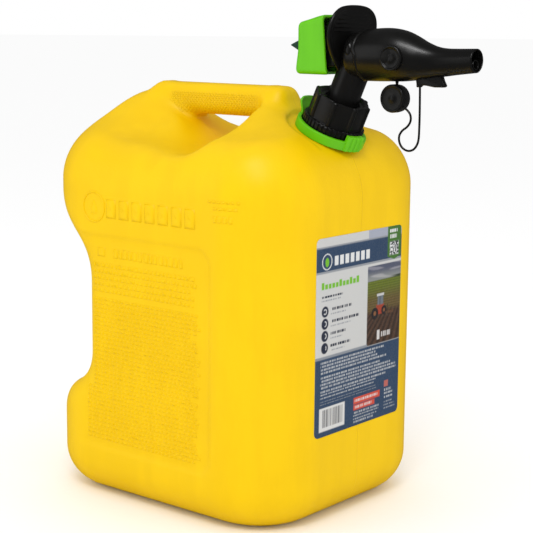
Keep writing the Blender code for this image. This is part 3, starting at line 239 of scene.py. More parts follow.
def smooth_line(knots, count):
    """Evenly spaced points on a Catmull-Rom curve through the knots."""
    knots = np.array(knots, dtype=float)
    padded = np.vstack([2 * knots[0] - knots[1], knots, 2 * knots[-1] - knots[-2]])
    a, b, c, d = padded[:-3, None], padded[1:-2, None], padded[2:-1, None], padded[3:, None]
    t = np.linspace(0.0, 1.0, 16, endpoint=False)[None, :, None]
    bend = (2 * a - 5 * b + 4 * c - d) * t ** 2 + (3 * b - a - 3 * c + d) * t ** 3
    line = 0.5 * (2 * b + (c - a) * t + bend)
    line = np.vstack([line.reshape(-1, knots.shape[1]), knots[-1:]])
    along = np.concatenate([[0.0], np.cumsum(np.linalg.norm(np.diff(line, axis=0), axis=1))])
    wanted = np.linspace(0.0, along[-1], count)
    return np.stack([np.interp(wanted, along, line[:, k]) for k in range(line.shape[1])], axis=1)


def from_neck(points):
    """Neck coordinates (forward, across, height over the seat) turned into the can's own."""
    forward, across, height = np.moveaxis(points, -1, 0)
    return np.stack([NECK_X + forward * cos(NECK_TILT) + height * sin(NECK_TILT), across,
                     NECK_Z - forward * sin(NECK_TILT) + height * cos(NECK_TILT)], axis=-1)


def circle(count):
    """Evenly spaced angles, once round."""
    return np.arange(count) * 2 * pi / count


def spun(radius, angle, height):
    """Points at a radius, an angle and a height, each of which may change from point to point."""
    grid = np.broadcast_arrays(radius * np.cos(angle), radius * np.sin(angle), height)
    return np.stack(grid, axis=-1)


def turned(profile, sides):
    """A profile of (radius, height) carried round an axis: radius cos a, radius sin a, height."""
    radius, height = np.array(profile).T
    return spun(radius, circle(sides)[:, None], height)


def section_grid(line, radius, across, lift, sides):
    """A circle round each point of a line, drawn in the plane of two directions across it."""
    angle = circle(sides)[None, :, None]
    radius = np.broadcast_to(radius, len(line))[:, None, None]
    across, lift = (np.broadcast_to(way, line.shape)[:, None] for way in (across, lift))
    return line[:, None] + radius * (np.cos(angle) * across + np.sin(angle) * lift)


def tube_grid(line, radius, sides):
    """A round section carried along a line; the section's frame is kept level with +Y."""
    line = np.asarray(line, dtype=float)
    along = np.gradient(line, axis=0)
    along /= np.linalg.norm(along, axis=1, keepdims=True)
    across = np.tile([0.0, 1.0, 0.0], (len(line), 1))
    across -= along * (along * across).sum(axis=1, keepdims=True)
    across /= np.linalg.norm(across, axis=1, keepdims=True)
    return section_grid(line, radius, across, np.cross(along, across), sides)


def plate(name, outline, half, edge, material):
    """A closed outline in X and Z given a thickness in Y, with its edges rounded: each layer is
    the outline drawn inwards along its own normals by edge * (1 - cos a) at depth sin a."""
    tangent = np.roll(outline, -1, axis=0) - np.roll(outline, 1, axis=0)
    tangent /= np.linalg.norm(tangent, axis=1, keepdims=True)
    normal = np.stack([tangent[:, 1], -tangent[:, 0]], axis=1)
    x, z = outline.T
    normal *= np.sign((x * np.roll(z, -1) - np.roll(x, -1) * z).sum())
    a = np.linspace(0.0, pi / 2, 5)
    inset = np.concatenate([edge * (1 - np.sin(a)), edge * (1 - np.cos(a))])
    depth = np.concatenate([-half + edge * (1 - np.cos(a)), half - edge * (1 - np.sin(a))])
    flat = outline[None] - inset[:, None, None] * normal[None]
    across = np.broadcast_to(depth[:, None], flat.shape[:2])
    return capped(name, np.stack([flat[..., 0], across, flat[..., 1]], axis=-1), material)


# ================================================================ shaders
class Nodes:
    """Adds nodes to one tree and joins them."""

    def __init__(self, tree):
        self.tree = tree

    def add(self, kind, inputs=None, **settings):
        node = self.tree.nodes.new(kind)
        for key, value in settings.items():
            setattr(node, key, value)
        for key, value in (inputs or {}).items():
            self.put(value, node.inputs[key])
        return node

    def put(self, value, socket):
        if isinstance(value, bpy.types.NodeSocket):
            self.tree.links.new(value, socket)
        else:
            socket.default_value = value

    def math(self, operation, *values, clamp=False):
        node = self.tree.nodes.new("ShaderNodeMath")
        node.operation = operation
        node.use_clamp = clamp
        for socket, value in zip(node.inputs, values):
            self.put(value, socket)
        return node.outputs[0]

    def span(self, value, low, high, to_low=0.0, to_high=1.0):
        """The value's place between two limits, smoothed."""
        return self.add("ShaderNodeMapRange", {"Value": value, "From Min": low, "From Max": high,
                                               "To Min": to_low, "To Max": to_high},
                        interpolation_type="SMOOTHSTEP").outputs["Result"]

    def noise(self, place, scale, detail=3.0, roughness=0.5):
        return self.add("ShaderNodeTexNoise", {"Vector": place, "Scale": scale, "Detail": detail,
                                               "Roughness": roughness}).outputs["Fac"]

    def place(self):
        return self.add("ShaderNodeTexCoord").outputs["Object"]

    def stretched(self, place, scale):
        return self.add("ShaderNodeMapping", {"Vector": place, "Scale": scale}).outputs["Vector"]

    def wave(self, run, turns):
        """The size of a sine along a value."""
        return self.math("ABSOLUTE", self.math("SINE", self.math("MULTIPLY", run, turns)))

    def relief(self, height, strength, distance, shader):
        """A bump from a height, put on the shader's normal."""
        bump = self.add("ShaderNodeBump", {"Height": height, "Strength": strength, "Distance": distance})
        self.put(bump.outputs["Normal"], shader.inputs["Normal"])
        return bump

    def mix(self, share, first, second):
        node = self.add("ShaderNodeMix", {"Factor": share}, data_type="RGBA")
        self.put(first, node.inputs["A"])
        self.put(second, node.inputs["B"])
        return node.outputs["Result"]


def group(name, inputs, outputs):
    """An empty shader group with named number inputs and named outputs."""
    tree = bpy.data.node_groups.new(name, "ShaderNodeTree")
    for label, default in inputs:
        kind = "NodeSocketFloat" if isinstance(default, float) else "NodeSocketColor"
        tree.interface.new_socket(name=label, in_out="INPUT", socket_type=kind).default_value = default
    for label, kind in outputs:
        tree.interface.new_socket(name=label, in_out="OUTPUT", socket_type=kind)
    nodes = Nodes(tree)
    return nodes, nodes.add("NodeGroupInput").outputs, nodes.add("NodeGroupOutput").inputs


def make_moulded_skin():
    """Colour, gloss and fine relief of a plastic moulding: slow streaks of shade where the melt
    flowed, cloudy patches of gloss, small scuffs, and a fine pebbled relief from the tool."""
    nodes, given, out = group("moulded_skin",
                              [("Colour", (0.5, 0.5, 0.5, 1.0)), ("Shade", (0.4, 0.4, 0.4, 1.0)),
                               ("Gloss", 0.4), ("Gloss Change", 0.08), ("Pebble Scale", 900.0),
                               ("Pebble", 0.3), ("Scuffs", 0.2)],
                              [("Colour", "NodeSocketColor"), ("Roughness", "NodeSocketFloat"),
                               ("Height", "NodeSocketFloat")])
    place = nodes.place()
    cloud = nodes.noise(place, 14.0, 3.0)
    streak = nodes.noise(nodes.stretched(place, (1.0, 1.0, 0.18)), 55.0, 4.0, 0.6)
    shade = nodes.span(nodes.math("MULTIPLY", cloud, streak), 0.16, 0.36)
    nodes.put(nodes.mix(shade, given["Shade"], given["Colour"]), out["Colour"])
    fine = nodes.noise(nodes.stretched(place, (1.0, 0.35, 2.4)), 240.0, 5.0, 0.7)
    scuff = nodes.math("MULTIPLY", nodes.span(fine, 0.60, 0.72), nodes.span(cloud, 0.46, 0.62))
    scuffed = nodes.math("MULTIPLY", scuff, given["Scuffs"])
    swing = nodes.math("MULTIPLY", nodes.math("SUBTRACT", cloud, 0.5), given["Gloss Change"])
    rough = nodes.math("ADD", nodes.math("ADD", given["Gloss"], swing), scuffed, clamp=True)
    nodes.put(rough, out["Roughness"])
    pebble = nodes.math("MULTIPLY", nodes.noise(place, given["Pebble Scale"], 2.0, 0.45), given["Pebble"])
    nodes.put(nodes.math("SUBTRACT", pebble, nodes.math("MULTIPLY", scuffed, 0.4)), out["Height"])
    return nodes.tree


def new_material(name, metallic=0.0):
    material = bpy.data.materials.new(name)
    material.use_nodes = True
    nodes = Nodes(material.node_tree)
    shader = material.node_tree.nodes["Principled BSDF"]
    shader.inputs["Metallic"].default_value = metallic
    return material, nodes, shader


def moulded(name, colour, shade, gloss, pebble, pebble_scale, scuffs, change, depth):
    """A plastic or rubber material that wears the moulded skin."""
    material, nodes, shader = new_material(name)
    shader.inputs["Specular IOR Level"].default_value = 0.35
    skin = nodes.add("ShaderNodeGroup", node_tree=MOULDED_SKIN)
    values = {"Colour": (*colour, 1.0), "Shade": (*shade, 1.0), "Gloss": gloss, "Gloss Change": change,
              "Pebble Scale": pebble_scale, "Pebble": pebble, "Scuffs": scuffs}
    for key, value in values.items():
        skin.inputs[key].default_value = value
    nodes.put(skin.outputs["Colour"], shader.inputs["Base Color"])
    nodes.put(skin.outputs["Roughness"], shader.inputs["Roughness"])
    bump = nodes.relief(skin.outputs["Height"], 1.0, depth, shader)
    return material, nodes, shader, skin, bump


def make_yellow():
    """Blow-moulded polyethylene: a softly glossy skin with slight orange peel, a diamond tread on
    the handle's underside and a thin parting line in the can's middle plane."""
    material, nodes, shader, skin, bump = moulded("yellow_polyethylene", YELLOW, YELLOW_SHADE, 0.40,
                                                  0.35, 420.0, 0.12, 0.12, 0.00025)
    shader.inputs["Specular IOR Level"].default_value = 0.14
    x, y, z = nodes.add("ShaderNodeSeparateXYZ", {"Vector": nodes.place()}).outputs
    waves = [nodes.wave(nodes.math(way, x, z), 760.0) for way in ("ADD", "SUBTRACT")]
    diamond = nodes.span(nodes.math("MULTIPLY", *waves), 0.25, 0.65)
    along = nodes.math("MULTIPLY", nodes.span(x, -0.074, -0.066), nodes.span(x, 0.044, 0.036))
    upright = nodes.math("MULTIPLY", nodes.span(z, 0.3695, 0.3725), nodes.span(z, 0.3925, 0.3895))
    off_middle = nodes.math("ABSOLUTE", y)
    window = nodes.math("MULTIPLY", upright, nodes.math("LESS_THAN", off_middle, 0.020))
    tread = nodes.math("MULTIPLY", nodes.math("MULTIPLY", diamond, along), window)
    parting = nodes.span(off_middle, 0.0008, 0.0002)
    relief = nodes.math("ADD", skin.outputs["Height"], nodes.math("MULTIPLY", tread, 2.2))
    nodes.put(nodes.math("ADD", relief, nodes.math("MULTIPLY", parting, 0.9)), bump.inputs["Height"])
    return material


def make_metal(name, colour, gloss, scale):
    """Drawn steel: fine lines along the part and small changes of gloss."""
    material, nodes, shader = new_material(name, 1.0)
    line = nodes.noise(nodes.stretched(nodes.place(), (0.06, 1.0, 1.0)), scale, 4.0, 0.6)
    dull = (*[0.72 * c for c in colour], 1.0)
    nodes.put(nodes.mix(line, dull, (*colour, 1.0)), shader.inputs["Base Color"])
    nodes.put(nodes.span(line, 0.3, 0.7, gloss - 0.06, gloss + 0.10), shader.inputs["Roughness"])
    nodes.relief(line, 0.4, 0.0001, shader)
    return material


def make_woven_steel():
    """Fine woven wire: two sets of thin wires that cross, with painted shade in the gaps between them."""
    material, nodes, shader = new_material("woven_steel", 1.0)
    x, y, z = nodes.add("ShaderNodeSeparateXYZ", {"Vector": nodes.place()}).outputs
    round_it = nodes.math("ARCTAN2", y, nodes.math("SUBTRACT", x, NECK_X))
    crossed = nodes.math("MAXIMUM", nodes.wave(z, 3600.0), nodes.wave(round_it, 64.0))
    wire = nodes.span(crossed, 0.55, 0.95)
    # painted shade: the gaps between the wires are near black, standing in for the dark inside seen through
    # them
    nodes.put(nodes.mix(wire, (0.03, 0.03, 0.03, 1.0), (0.55, 0.54, 0.52, 1.0)), shader.inputs["Base Color"])
    nodes.put(nodes.span(wire, 0.0, 1.0, 0.7, 0.32), shader.inputs["Roughness"])
    nodes.relief(wire, 0.8, 0.0002, shader)
    return material


def make_print():
    """Printed film: inks from the colour attribute under a clear satin coat with faint ripples."""
    material, nodes, shader = new_material("printed_film")
    ink = nodes.add("ShaderNodeAttribute", attribute_name="ink").outputs["Color"]
    place = nodes.place()
    speck = nodes.noise(place, 700.0, 3.0, 0.6)
    worn = nodes.span(speck, 0.2, 0.8, 0.0, 0.05)
    nodes.put(nodes.mix(worn, ink, (0.55, 0.55, 0.55, 1.0)), shader.inputs["Base Color"])
    cloud = nodes.noise(place, 30.0, 3.0)
    nodes.put(nodes.span(cloud, 0.3, 0.7, 0.30, 0.42), shader.inputs["Roughness"])
    shader.inputs["Specular IOR Level"].default_value = 0.18
    shader.inputs["Coat Weight"].default_value = 0.08
    shader.inputs["Coat Roughness"].default_value = 0.18
    nodes.relief(nodes.math("ADD", cloud, nodes.math("MULTIPLY", speck, 0.05)), 0.25, 0.0004, shader)
    return material


def studio_floor():
    """Pale smooth paper with a hardly visible tooth; to glossy rays it is painted dark grey, so its reflection
    in the parts is painted dark.
    """
    material, nodes, shader = new_material("studio_paper")
    tooth = nodes.noise(nodes.place(), 180.0, 3.0)
    paper = nodes.mix(tooth, (0.95, 0.95, 0.95, 1.0), (0.98, 0.98, 0.98, 1.0))
    mirrored = nodes.add("ShaderNodeLightPath").outputs["Is Glossy Ray"]
    # painted reflection: glossy rays see the floor as dark grey, so the floor's reflection in the parts is
    # painted dark
    nodes.put(nodes.mix(mirrored, paper, (0.10, 0.10, 0.10, 1.0)), shader.inputs["Base Color"])
    shader.inputs["Roughness"].default_value = 0.9
    shader.inputs["Specular IOR Level"].default_value = 0.0
    return material


# ================================================================ the can's skin
def smooth_min(a, b, radius):
    """The lower of two distances, with their crease filleted over the radius."""
    near = np.maximum(radius - np.abs(a - b), 0.0) / radius
    return np.minimum(a, b) - near * near * radius / 4


def smooth_max(a, b, radius):
    return -smooth_min(-a, -b, radius)


def rounded_rectangle(u, v, half_u, half_v, radius):
    """Distance to a rectangle with round corners."""
    du, dv = np.abs(u) - (half_u - radius), np.abs(v) - (half_v - radius)
    outside = np.hypot(np.maximum(du, 0.0), np.maximum(dv, 0.0))
    return outside + np.minimum(np.maximum(du, dv), 0.0) - radius


def rounded_edge(side, end, radius):
    """Distance to a solid where a side wall meets an end face with a round edge."""
    outside = np.hypot(np.maximum(side + radius, 0.0), np.maximum(end + radius, 0.0))
    return outside + np.minimum(np.maximum(side + radius, end + radius), 0.0) - radius


def body_distance(x, y, z):
    """Signed distance to the can's skin: a round-cornered block under a tent-shaped roof, cut by
    the rear slope, the front seat, the hand hole, the rear grip and the two side panels, and
    joined by the handle's bar.  Creases are filleted by smooth minimum and maximum."""
    walls = rounded_rectangle(x, y, HALF_LENGTH, HALF_WIDTH, CORNER_RADIUS)
    base = rounded_edge(walls, -z, BASE_FILLET)
    tent = TENT_WIDTH - POCKET_DEPTH * np.exp(-((x - POCKET_CENTRE) / POCKET_LENGTH) ** 4)
    sides = (z - SHOULDER_Z - RIDGE_RISE / (1 + (y / tent) ** 2)) * ROOF_STEEPNESS
    rear = (REAR_SLOPE_START - x) * sin(REAR_SLOPE) + (z - CAN_HEIGHT) * cos(REAR_SLOPE)
    forward = (x - NECK_X) * cos(NECK_TILT) - (z - NECK_Z) * sin(NECK_TILT)
    height = (x - NECK_X) * sin(NECK_TILT) + (z - NECK_Z) * cos(NECK_TILT)
    roof = smooth_max(smooth_max(sides, rear, 0.020), height - SEAT_RIM, 0.012)
    body = np.maximum(rounded_edge(walls, roof, TOP_FILLET), base)
    rear_wall = (HOLE_REAR - x) * sin(HOLE_SLOPE) + (HOLE_REAR_Z - z) * cos(HOLE_SLOPE)
    floor = HOLE_FLOOR + HOLE_FLOOR_RISE * np.maximum(np.abs(y) - HOLE_FLOOR_FLAT, 0.0)
    hole = smooth_max(smooth_max(rear_wall, x - HOLE_FRONT, 0.012), floor - z, 0.030)
    body = smooth_max(body, -hole, 0.009)
    bar = rounded_rectangle(y, z - HANDLE_Z, HANDLE_HALF_WIDTH, HANDLE_HALF_HEIGHT, HANDLE_ROUNDING)
    bar = rounded_edge(bar, np.maximum(x - HANDLE_FRONT, HANDLE_REAR - x), 0.010)
    body = smooth_min(body, bar, 0.014)
    seat = np.maximum(np.hypot(forward, y) - SEAT_RADIUS, -height)
    body = smooth_max(body, -seat, 0.004)
    inward = x + HALF_LENGTH - GRIP_DEPTH
    low = inward * GRIP_LOW_SLOPE[0] + (GRIP_LOW - z) * GRIP_LOW_SLOPE[1]
    high = inward * GRIP_HIGH_SLOPE[0] + (z - GRIP_HIGH) * GRIP_HIGH_SLOPE[1]
    grip = smooth_max(smooth_max(low, high, 0.020), inward, 0.030)
    body = smooth_max(body, -grip, 0.024)
    middle_x, middle_z = (PANEL_FRONT + PANEL_REAR) / 2, (PANEL_HIGH + PANEL_LOW) / 2
    half_long, half_tall = (PANEL_FRONT - PANEL_REAR) / 2, (PANEL_HIGH - PANEL_LOW) / 2
    outline = rounded_rectangle(x - middle_x, z - middle_z, half_long, half_tall, PANEL_CORNER)
    sunk = PANEL_DEPTH * (1 - smooth_step(outline, -0.0045, 0.0015)) * smooth_step(x, -0.105, -0.075)
    return body + np.where(np.abs(y) > 0.09, sunk, 0.0)


def skin_grid(cell):
    """The surface where the distance is zero: one point in each grid cell that it crosses, joined
    across each grid edge that it crosses, then moved on to the surface along its slope."""
    low = np.array([-HALF_LENGTH, -HALF_WIDTH, 0.0]) - 1.7 * cell
    high = np.array([HALF_LENGTH, HALF_WIDTH, CAN_HEIGHT]) + 1.7 * cell
    counts = np.ceil((high - low) / cell).astype(int) + 1
    axes = [low[k] + cell * np.arange(counts[k]) for k in range(3)]
    value = body_distance(*np.meshgrid(*axes, indexing="ij"))
    inside = value < 0
    cells = tuple(counts - 1)
    total, hits, quads = np.zeros(cells + (3,)), np.zeros(cells), []
    for axis in range(3):
        first, second = [slice(None)] * 3, [slice(None)] * 3
        first[axis], second[axis] = slice(0, -1), slice(1, None)
        first, second = tuple(first), tuple(second)
        crossed = inside[first] != inside[second]
        where = np.argwhere(crossed)
        point = where.astype(float)
        point[:, axis] += value[first][crossed] / (value[first][crossed] - value[second][crossed])
        ring = []
        for step_u, step_v in ((0, 0), (1, 0), (1, 1), (0, 1)):
            home = where.copy()
            home[:, (axis + 1) % 3] -= step_u
            home[:, (axis + 2) % 3] -= step_v
            np.add.at(total, tuple(home.T), point)
            np.add.at(hits, tuple(home.T), 1)
            ring.append(home)
        quad = np.stack(ring, axis=1)
        outer = ~inside[first][crossed]
        quad[outer] = quad[outer][:, ::-1]
        quads.append(quad)
    used = hits > 0
    number = np.full(cells, -1)
    number[used] = np.arange(used.sum())
    points = low + cell * total[used] / hits[used][:, None]
    faces = np.concatenate([number[tuple(np.moveaxis(quad, -1, 0))] for quad in quads])
    for _ in range(4):
        away = body_distance(*points.T)
        slope = np.stack([body_distance(*(points + step).T) - body_distance(*(points - step).T)
                          for step in np.eye(3) * 0.0003], axis=1) / 0.0006
        points = points - slope * (away / np.maximum((slope ** 2).sum(axis=1), 0.2))[:, None]
    return points, faces


def make_can(yellow):
    """The fine skin, with the neck's bore sunk into it, and the threaded neck over the seat."""
    points, faces = skin_grid(SKIN_CELL * (1.0))
    if volume(points, faces) < 0:
        faces = faces[:, ::-1]
    can = show("can_skin", make_mesh("can_skin", points, faces), yellow)
    bore = turned([(NECK_BORE, -0.045), (NECK_BORE, 0.02)], 96)
    cutter = capped("neck_bore", from_neck(np.swapaxes(bore, 0, 1)), yellow)
    cut = can.modifiers.new("neck", "BOOLEAN")
    cut.operation = "DIFFERENCE"
    cut.solver = "MANIFOLD"
    cut.object = cutter
    bpy.context.view_layer.update()
    can.data = bpy.data.meshes.new_from_object(can.evaluated_get(bpy.context.evaluated_depsgraph_get()))
    can.modifiers.clear()
    bpy.data.objects.remove(cutter)
    ride_on("can", can, "can_body")
    ride_on("can", make_neck(yellow))


def make_neck(yellow):
    """A short pipe whose outside carries a thread: radius plus a ridge that climbs one pitch each
    turn, ridge = depth * smooth bump of (height / pitch - angle / 2 pi) modulo one."""
    sides, pitch, depth = 160, 0.0052, 0.00045
    outer = finer([(NECK_RADIUS, -0.004), (NECK_RADIUS, NECK_HEIGHT - 0.0008),
                   (NECK_RADIUS - 0.0008, NECK_HEIGHT), (NECK_BORE + 0.0006, NECK_HEIGHT),
                   (NECK_BORE, NECK_HEIGHT - 0.0006), (NECK_BORE, -0.004)], 0.0005)
    grid = turned(outer, sides)
    height = grid[..., 2]
    turn = (height / pitch - circle(sides)[:, None] / (2 * pi)) % 1.0
    ridge = depth * smooth_step(0.26 - np.abs(turn - 0.5), 0.0, 0.12)
    window = smooth_step(height, 0.010, 0.013) * (1 - smooth_step(height, 0.0245, 0.0265))
    on_outside = np.hypot(grid[..., 0], grid[..., 1]) > NECK_RADIUS - 0.0001
    grow = 1 + ridge * window * on_outside / NECK_RADIUS
    grid[..., :2] *= grow[..., None]
    return ringed("neck_pipe", from_neck(grid), yellow)


def pillow_marks(name, places, material, side, height=0.0006):
    """Raised marks on a side wall.  Each is a small pillow: a rectangle whose rim sits below the
    wall and whose top stands over it, at (x, z, half length, half height) from the list."""
    places = np.asarray(places, dtype=float)
    rim = np.array([[-1, -1], [0, -1], [1, -1], [1, 0], [1, 1], [0, 1], [-1, 1], [-1, 0]], dtype=float)
    lift = np.array([-0.0006, 0.0, height, height * 1.05])
    size = places[:, None, None, 2:]
    inset = np.array([0.0, 0.0, 0.30, 0.0])[None, :, None, None] * np.minimum(size, size[..., ::-1])
    flat = rim[None, None] * np.maximum(size - inset, 0.0)
    flat[:, 3] = rim[None] * np.maximum(size[:, 0] - size[:, 0].min(axis=-1, keepdims=True), 0.0)
    along = places[:, None, None, 0] + flat[..., 0]
    up = places[:, None, None, 1] + flat[..., 1]
    grid = np.stack([along, side * (wall_depth(along, up) + lift[None, :, None]), up], axis=-1)
    count, rows, columns = grid.shape[:3]
    first = (np.arange(count) * rows * columns)[:, None]
    quads = (grid_quads(rows, columns, close_columns=True)[None] + first[:, :, None]).reshape(-1, 4)
    top = first + (rows - 1) * columns + np.arange(columns)[None]
    bottom = first + np.arange(columns)[None, ::-1]
    if side > 0:
        quads, top, bottom = quads[:, ::-1], top[:, ::-1], bottom[:, ::-1]
    mesh = make_mesh(name, grid.reshape(-1, 3), quads, top.tolist() + bottom.tolist())
    return show(name, mesh, material)


def wall_depth(x, z):
    """How far the can's side wall stands out from the middle plane at a place on it: a few Newton
    steps on the distance from just outside the flat wall."""
    y = np.full(np.broadcast(x, z).shape, HALF_WIDTH)
    for _ in range(5):
        y = y - body_distance(x, y, z)
    return y


def dash_row(rng, start, end, z, tall, long):
    """Dashes of changing length, a small gap apart, from start until end."""
    row = []
    x = start
    while x < end - 2 * long:
        half = long * (0.55 + 0.45 * rng.random())
        row.append((x + half, z, half, tall))
        x += 2 * half + 0.0013 + 0.0010 * (rng.random() < 0.2)
    return row


def make_side_marks(yellow):
    """Generic raised marks: rows of short dashes in each side panel, small below and larger above,
    a ring with a drop over them, and seven plain blocks beside the ring."""
    rng = np.random.default_rng(7)
    rows = []
    for z in np.arange(0.0610, 0.2010, 0.00415):
        start = -0.0700 if z > 0.112 else -0.0790
        rows += dash_row(rng, start, 0.0700 - 0.010 * rng.random() ** 2, z, 0.00115, 0.0024)
    for z in (0.2070, 0.2130, 0.2190, 0.2250, 0.2310):
        rows += dash_row(rng, -0.0700, 0.0660 - 0.012 * rng.random(), z, 0.0019, 0.0026)
    rows += dash_row(rng, -0.0420, 0.0500, 0.2435, 0.0044, 0.0030) + [(-0.0580, 0.2435, 0.0050, 0.0044)]
    blocks = [(x, 0.2855, 0.0064, 0.0090) for x in np.arange(-0.0430, 0.0640, 0.0166)]
    for name, side in (("right", -1), ("left", 1)):
        small = dash_row(rng, 0.078, 0.112, 0.3035, 0.0011, 0.0022)
        small += dash_row(rng, 0.084, 0.110, 0.2975, 0.0011, 0.0022)
        small += dash_row(rng, 0.084, 0.106, 0.2880, 0.0030, 0.0028)
        ride_on("can", pillow_marks("panel_marks_" + name, rows, yellow, side))
        ride_on("can", pillow_marks("wall_blocks_" + name, blocks, yellow, side, 0.0013))
        ride_on("can", pillow_marks("corner_marks_" + name, small, yellow, side))
        ride_on("can", make_wall_ring("wall_ring_" + name, yellow, side))
        ride_on("can", make_wall_drop("wall_drop_" + name, yellow, side))


def make_wall_ring(name, yellow, side):
    """A round bead bent to the wall: centre plus (radius + bead cos b) round, bead sin b out."""
    a, b = circle(96)[:, None], circle(12)[None]
    reach = 0.0140 + 0.0009 * np.cos(b)
    x, z = -0.066 + reach * np.cos(a), 0.2860 + reach * np.sin(a)
    y = side * (wall_depth(x, z) + 0.0008 * np.sin(b))
    return ringed(name, np.stack([x, y, z], axis=-1), yellow)


def make_wall_drop(name, yellow, side):
    """A plain drop in relief: a disc whose upper half narrows to a point, domed by 1 - share^4."""
    a = circle(64)[None]
    share = np.linspace(0.02, 1.0, 12)[:, None]
    pinch = 0.5 * (1 + np.sin(a))
    x = -0.066 + 0.0062 * share * np.cos(a) * (1 - 0.85 * pinch ** 2)
    z = 0.2845 + 0.0062 * share * (np.sin(a) + 0.55 * pinch ** 3)
    y = side * (wall_depth(x, z) - 0.0004 + 0.0014 * (1 - share ** 4))
    return capped(name, np.stack([x, y, z], axis=-1), yellow)


# ================================================================ label
def inked(colours, mask, ink):
    """Lays an ink over the print where the mask is 1."""
    return colours + mask[..., None] * (np.array(ink) - colours)


def box_mask(u, v, low_u, high_u, low_v, high_v):
    """1 inside a rectangle, fading over a soft edge."""
    inside = np.minimum(np.minimum(u - low_u, high_u - u), np.minimum(v - low_v, high_v - v))
    return smooth_step(inside, -0.00025, 0.00025)


def line_marks(u, v, left, right, top, count, pitch, tall, seed):
    """Rows of broken strokes: strokes and gaps of changing length, at a steady pitch."""
    row = np.floor((top - v) / pitch)
    part = (top - v) / pitch - row
    inside = (row >= 0) & (row < count) & (u > left)
    rough_end = right - 0.30 * (right - left) * np.abs(np.sin(row * 12.9898 + seed)) ** 3
    stroke = np.sin(u * 2400.0 + 7.0 * np.sin(row * 4.7 + seed) + 2.0 * np.sin(u * 700.0 + row * 3.1)) > -0.55
    return (inside & (u < rough_end) & (part < tall / pitch) & stroke).astype(float)


def boxes(colours, u, v, rows):
    """Lays plain boxes over the print, each at low u, high u, low v, high v and with its ink."""
    for low_u, high_u, low_v, high_v, ink in rows:
        colours = inked(colours, box_mask(u, v, low_u, high_u, low_v, high_v), ink)
    return colours


def lines(colours, u, v, ink, rows):
    """Lays rows of broken strokes over the print, each at its strength and what line_marks takes."""
    for strength, *row in rows:
        colours = inked(colours, strength * line_marks(u, v, *row), ink)
    return colours


def disc(colours, u, v, middle_u, middle_v, radius, ink):
    """Lays a round spot over the print."""
    return inked(colours, smooth_step(radius - np.hypot(u - middle_u, v - middle_v), -0.0003, 0.0003), ink)


def paint_picture(colours, u, v):
    """Sky over a field that turns to ploughed soil, with a small tractor: bands in v whose edges
    are smooth steps, furrows as waves that run to a point on the horizon, and plain shapes."""
    haze = smooth_step(v, 0.146, 0.135)[..., None]
    sky = np.array([0.075, 0.085, 0.130]) + haze * np.array([0.15, 0.15, 0.10])
    cloud = smooth_step(np.sin(u * 120.0 + 3.0 * np.sin(v * 420.0)) + np.sin(v * 900.0 + u * 90.0), 0.3, 1.6)
    sky = sky + cloud[..., None] * np.array([0.13, 0.12, 0.12])
    stripe = (1 + 0.22 * np.sin(v * 2600.0 + 14.0 * u))[..., None]
    field = np.array([0.105, 0.135, 0.010]) * stripe
    dry = np.array([0.110, 0.075, 0.022]) * stripe
    furrow = np.sin((u - 0.150) / (0.150 - v) * 46.0)
    soil = np.array([0.052, 0.026, 0.015]) * (1 + 0.45 * furrow)[..., None]
    land = inked(inked(field, smooth_step(v, 0.131, 0.112), dry), smooth_step(v, 0.1085, 0.1015), soil)
    view = inked(sky, smooth_step(v, 0.1350, 0.1340), land)
    trees = smooth_step(v, 0.1366, 0.1358) * smooth_step(u, 0.110, 0.128) * smooth_step(v, 0.1338, 0.1344)
    view = inked(view, trees, (0.035, 0.050, 0.020))
    colours = inked(colours, box_mask(u, v, 0.0780, 0.1330, 0.0735, 0.1490), view)
    colours = boxes(colours, u, v, (        # bonnet, cab, its post and its roof
        (0.0925, 0.1055, 0.1015, 0.1110, (0.300, 0.040, 0.015)),
        (0.0945, 0.1040, 0.1105, 0.1200, (0.130, 0.150, 0.170)),
        (0.0980, 0.0992, 0.1105, 0.1200, (0.050, 0.050, 0.055)),
        (0.0935, 0.1050, 0.1190, 0.1212, (0.480, 0.480, 0.480))))
    for cu, cv, radius in ((0.0905, 0.1030, 0.0056), (0.1055, 0.1045, 0.0044)):
        colours = disc(colours, u, v, cu, cv, radius, (0.012, 0.010, 0.012))
        colours = disc(colours, u, v, cu, cv, 0.4 * radius, (0.200, 0.080, 0.030))
    colours = boxes(colours, u, v, (        # the plough's beam and two legs, and a pale block
        (0.1080, 0.1215, 0.1000, 0.1028, (0.100, 0.045, 0.020)),
        (0.1110, 0.1120, 0.0985, 0.1095, (0.060, 0.035, 0.020)),
        (0.1175, 0.1185, 0.0985, 0.1070, (0.060, 0.035, 0.020)),
        (0.0945, 0.0990, 0.0770, 0.0862, (0.560, 0.540, 0.530))))
    return lines(colours, u, v, (0.500, 0.480, 0.470), ((1.0, 0.1015, 0.1190, 0.0840, 1, 0.0070, 0.0048, 4.0),))


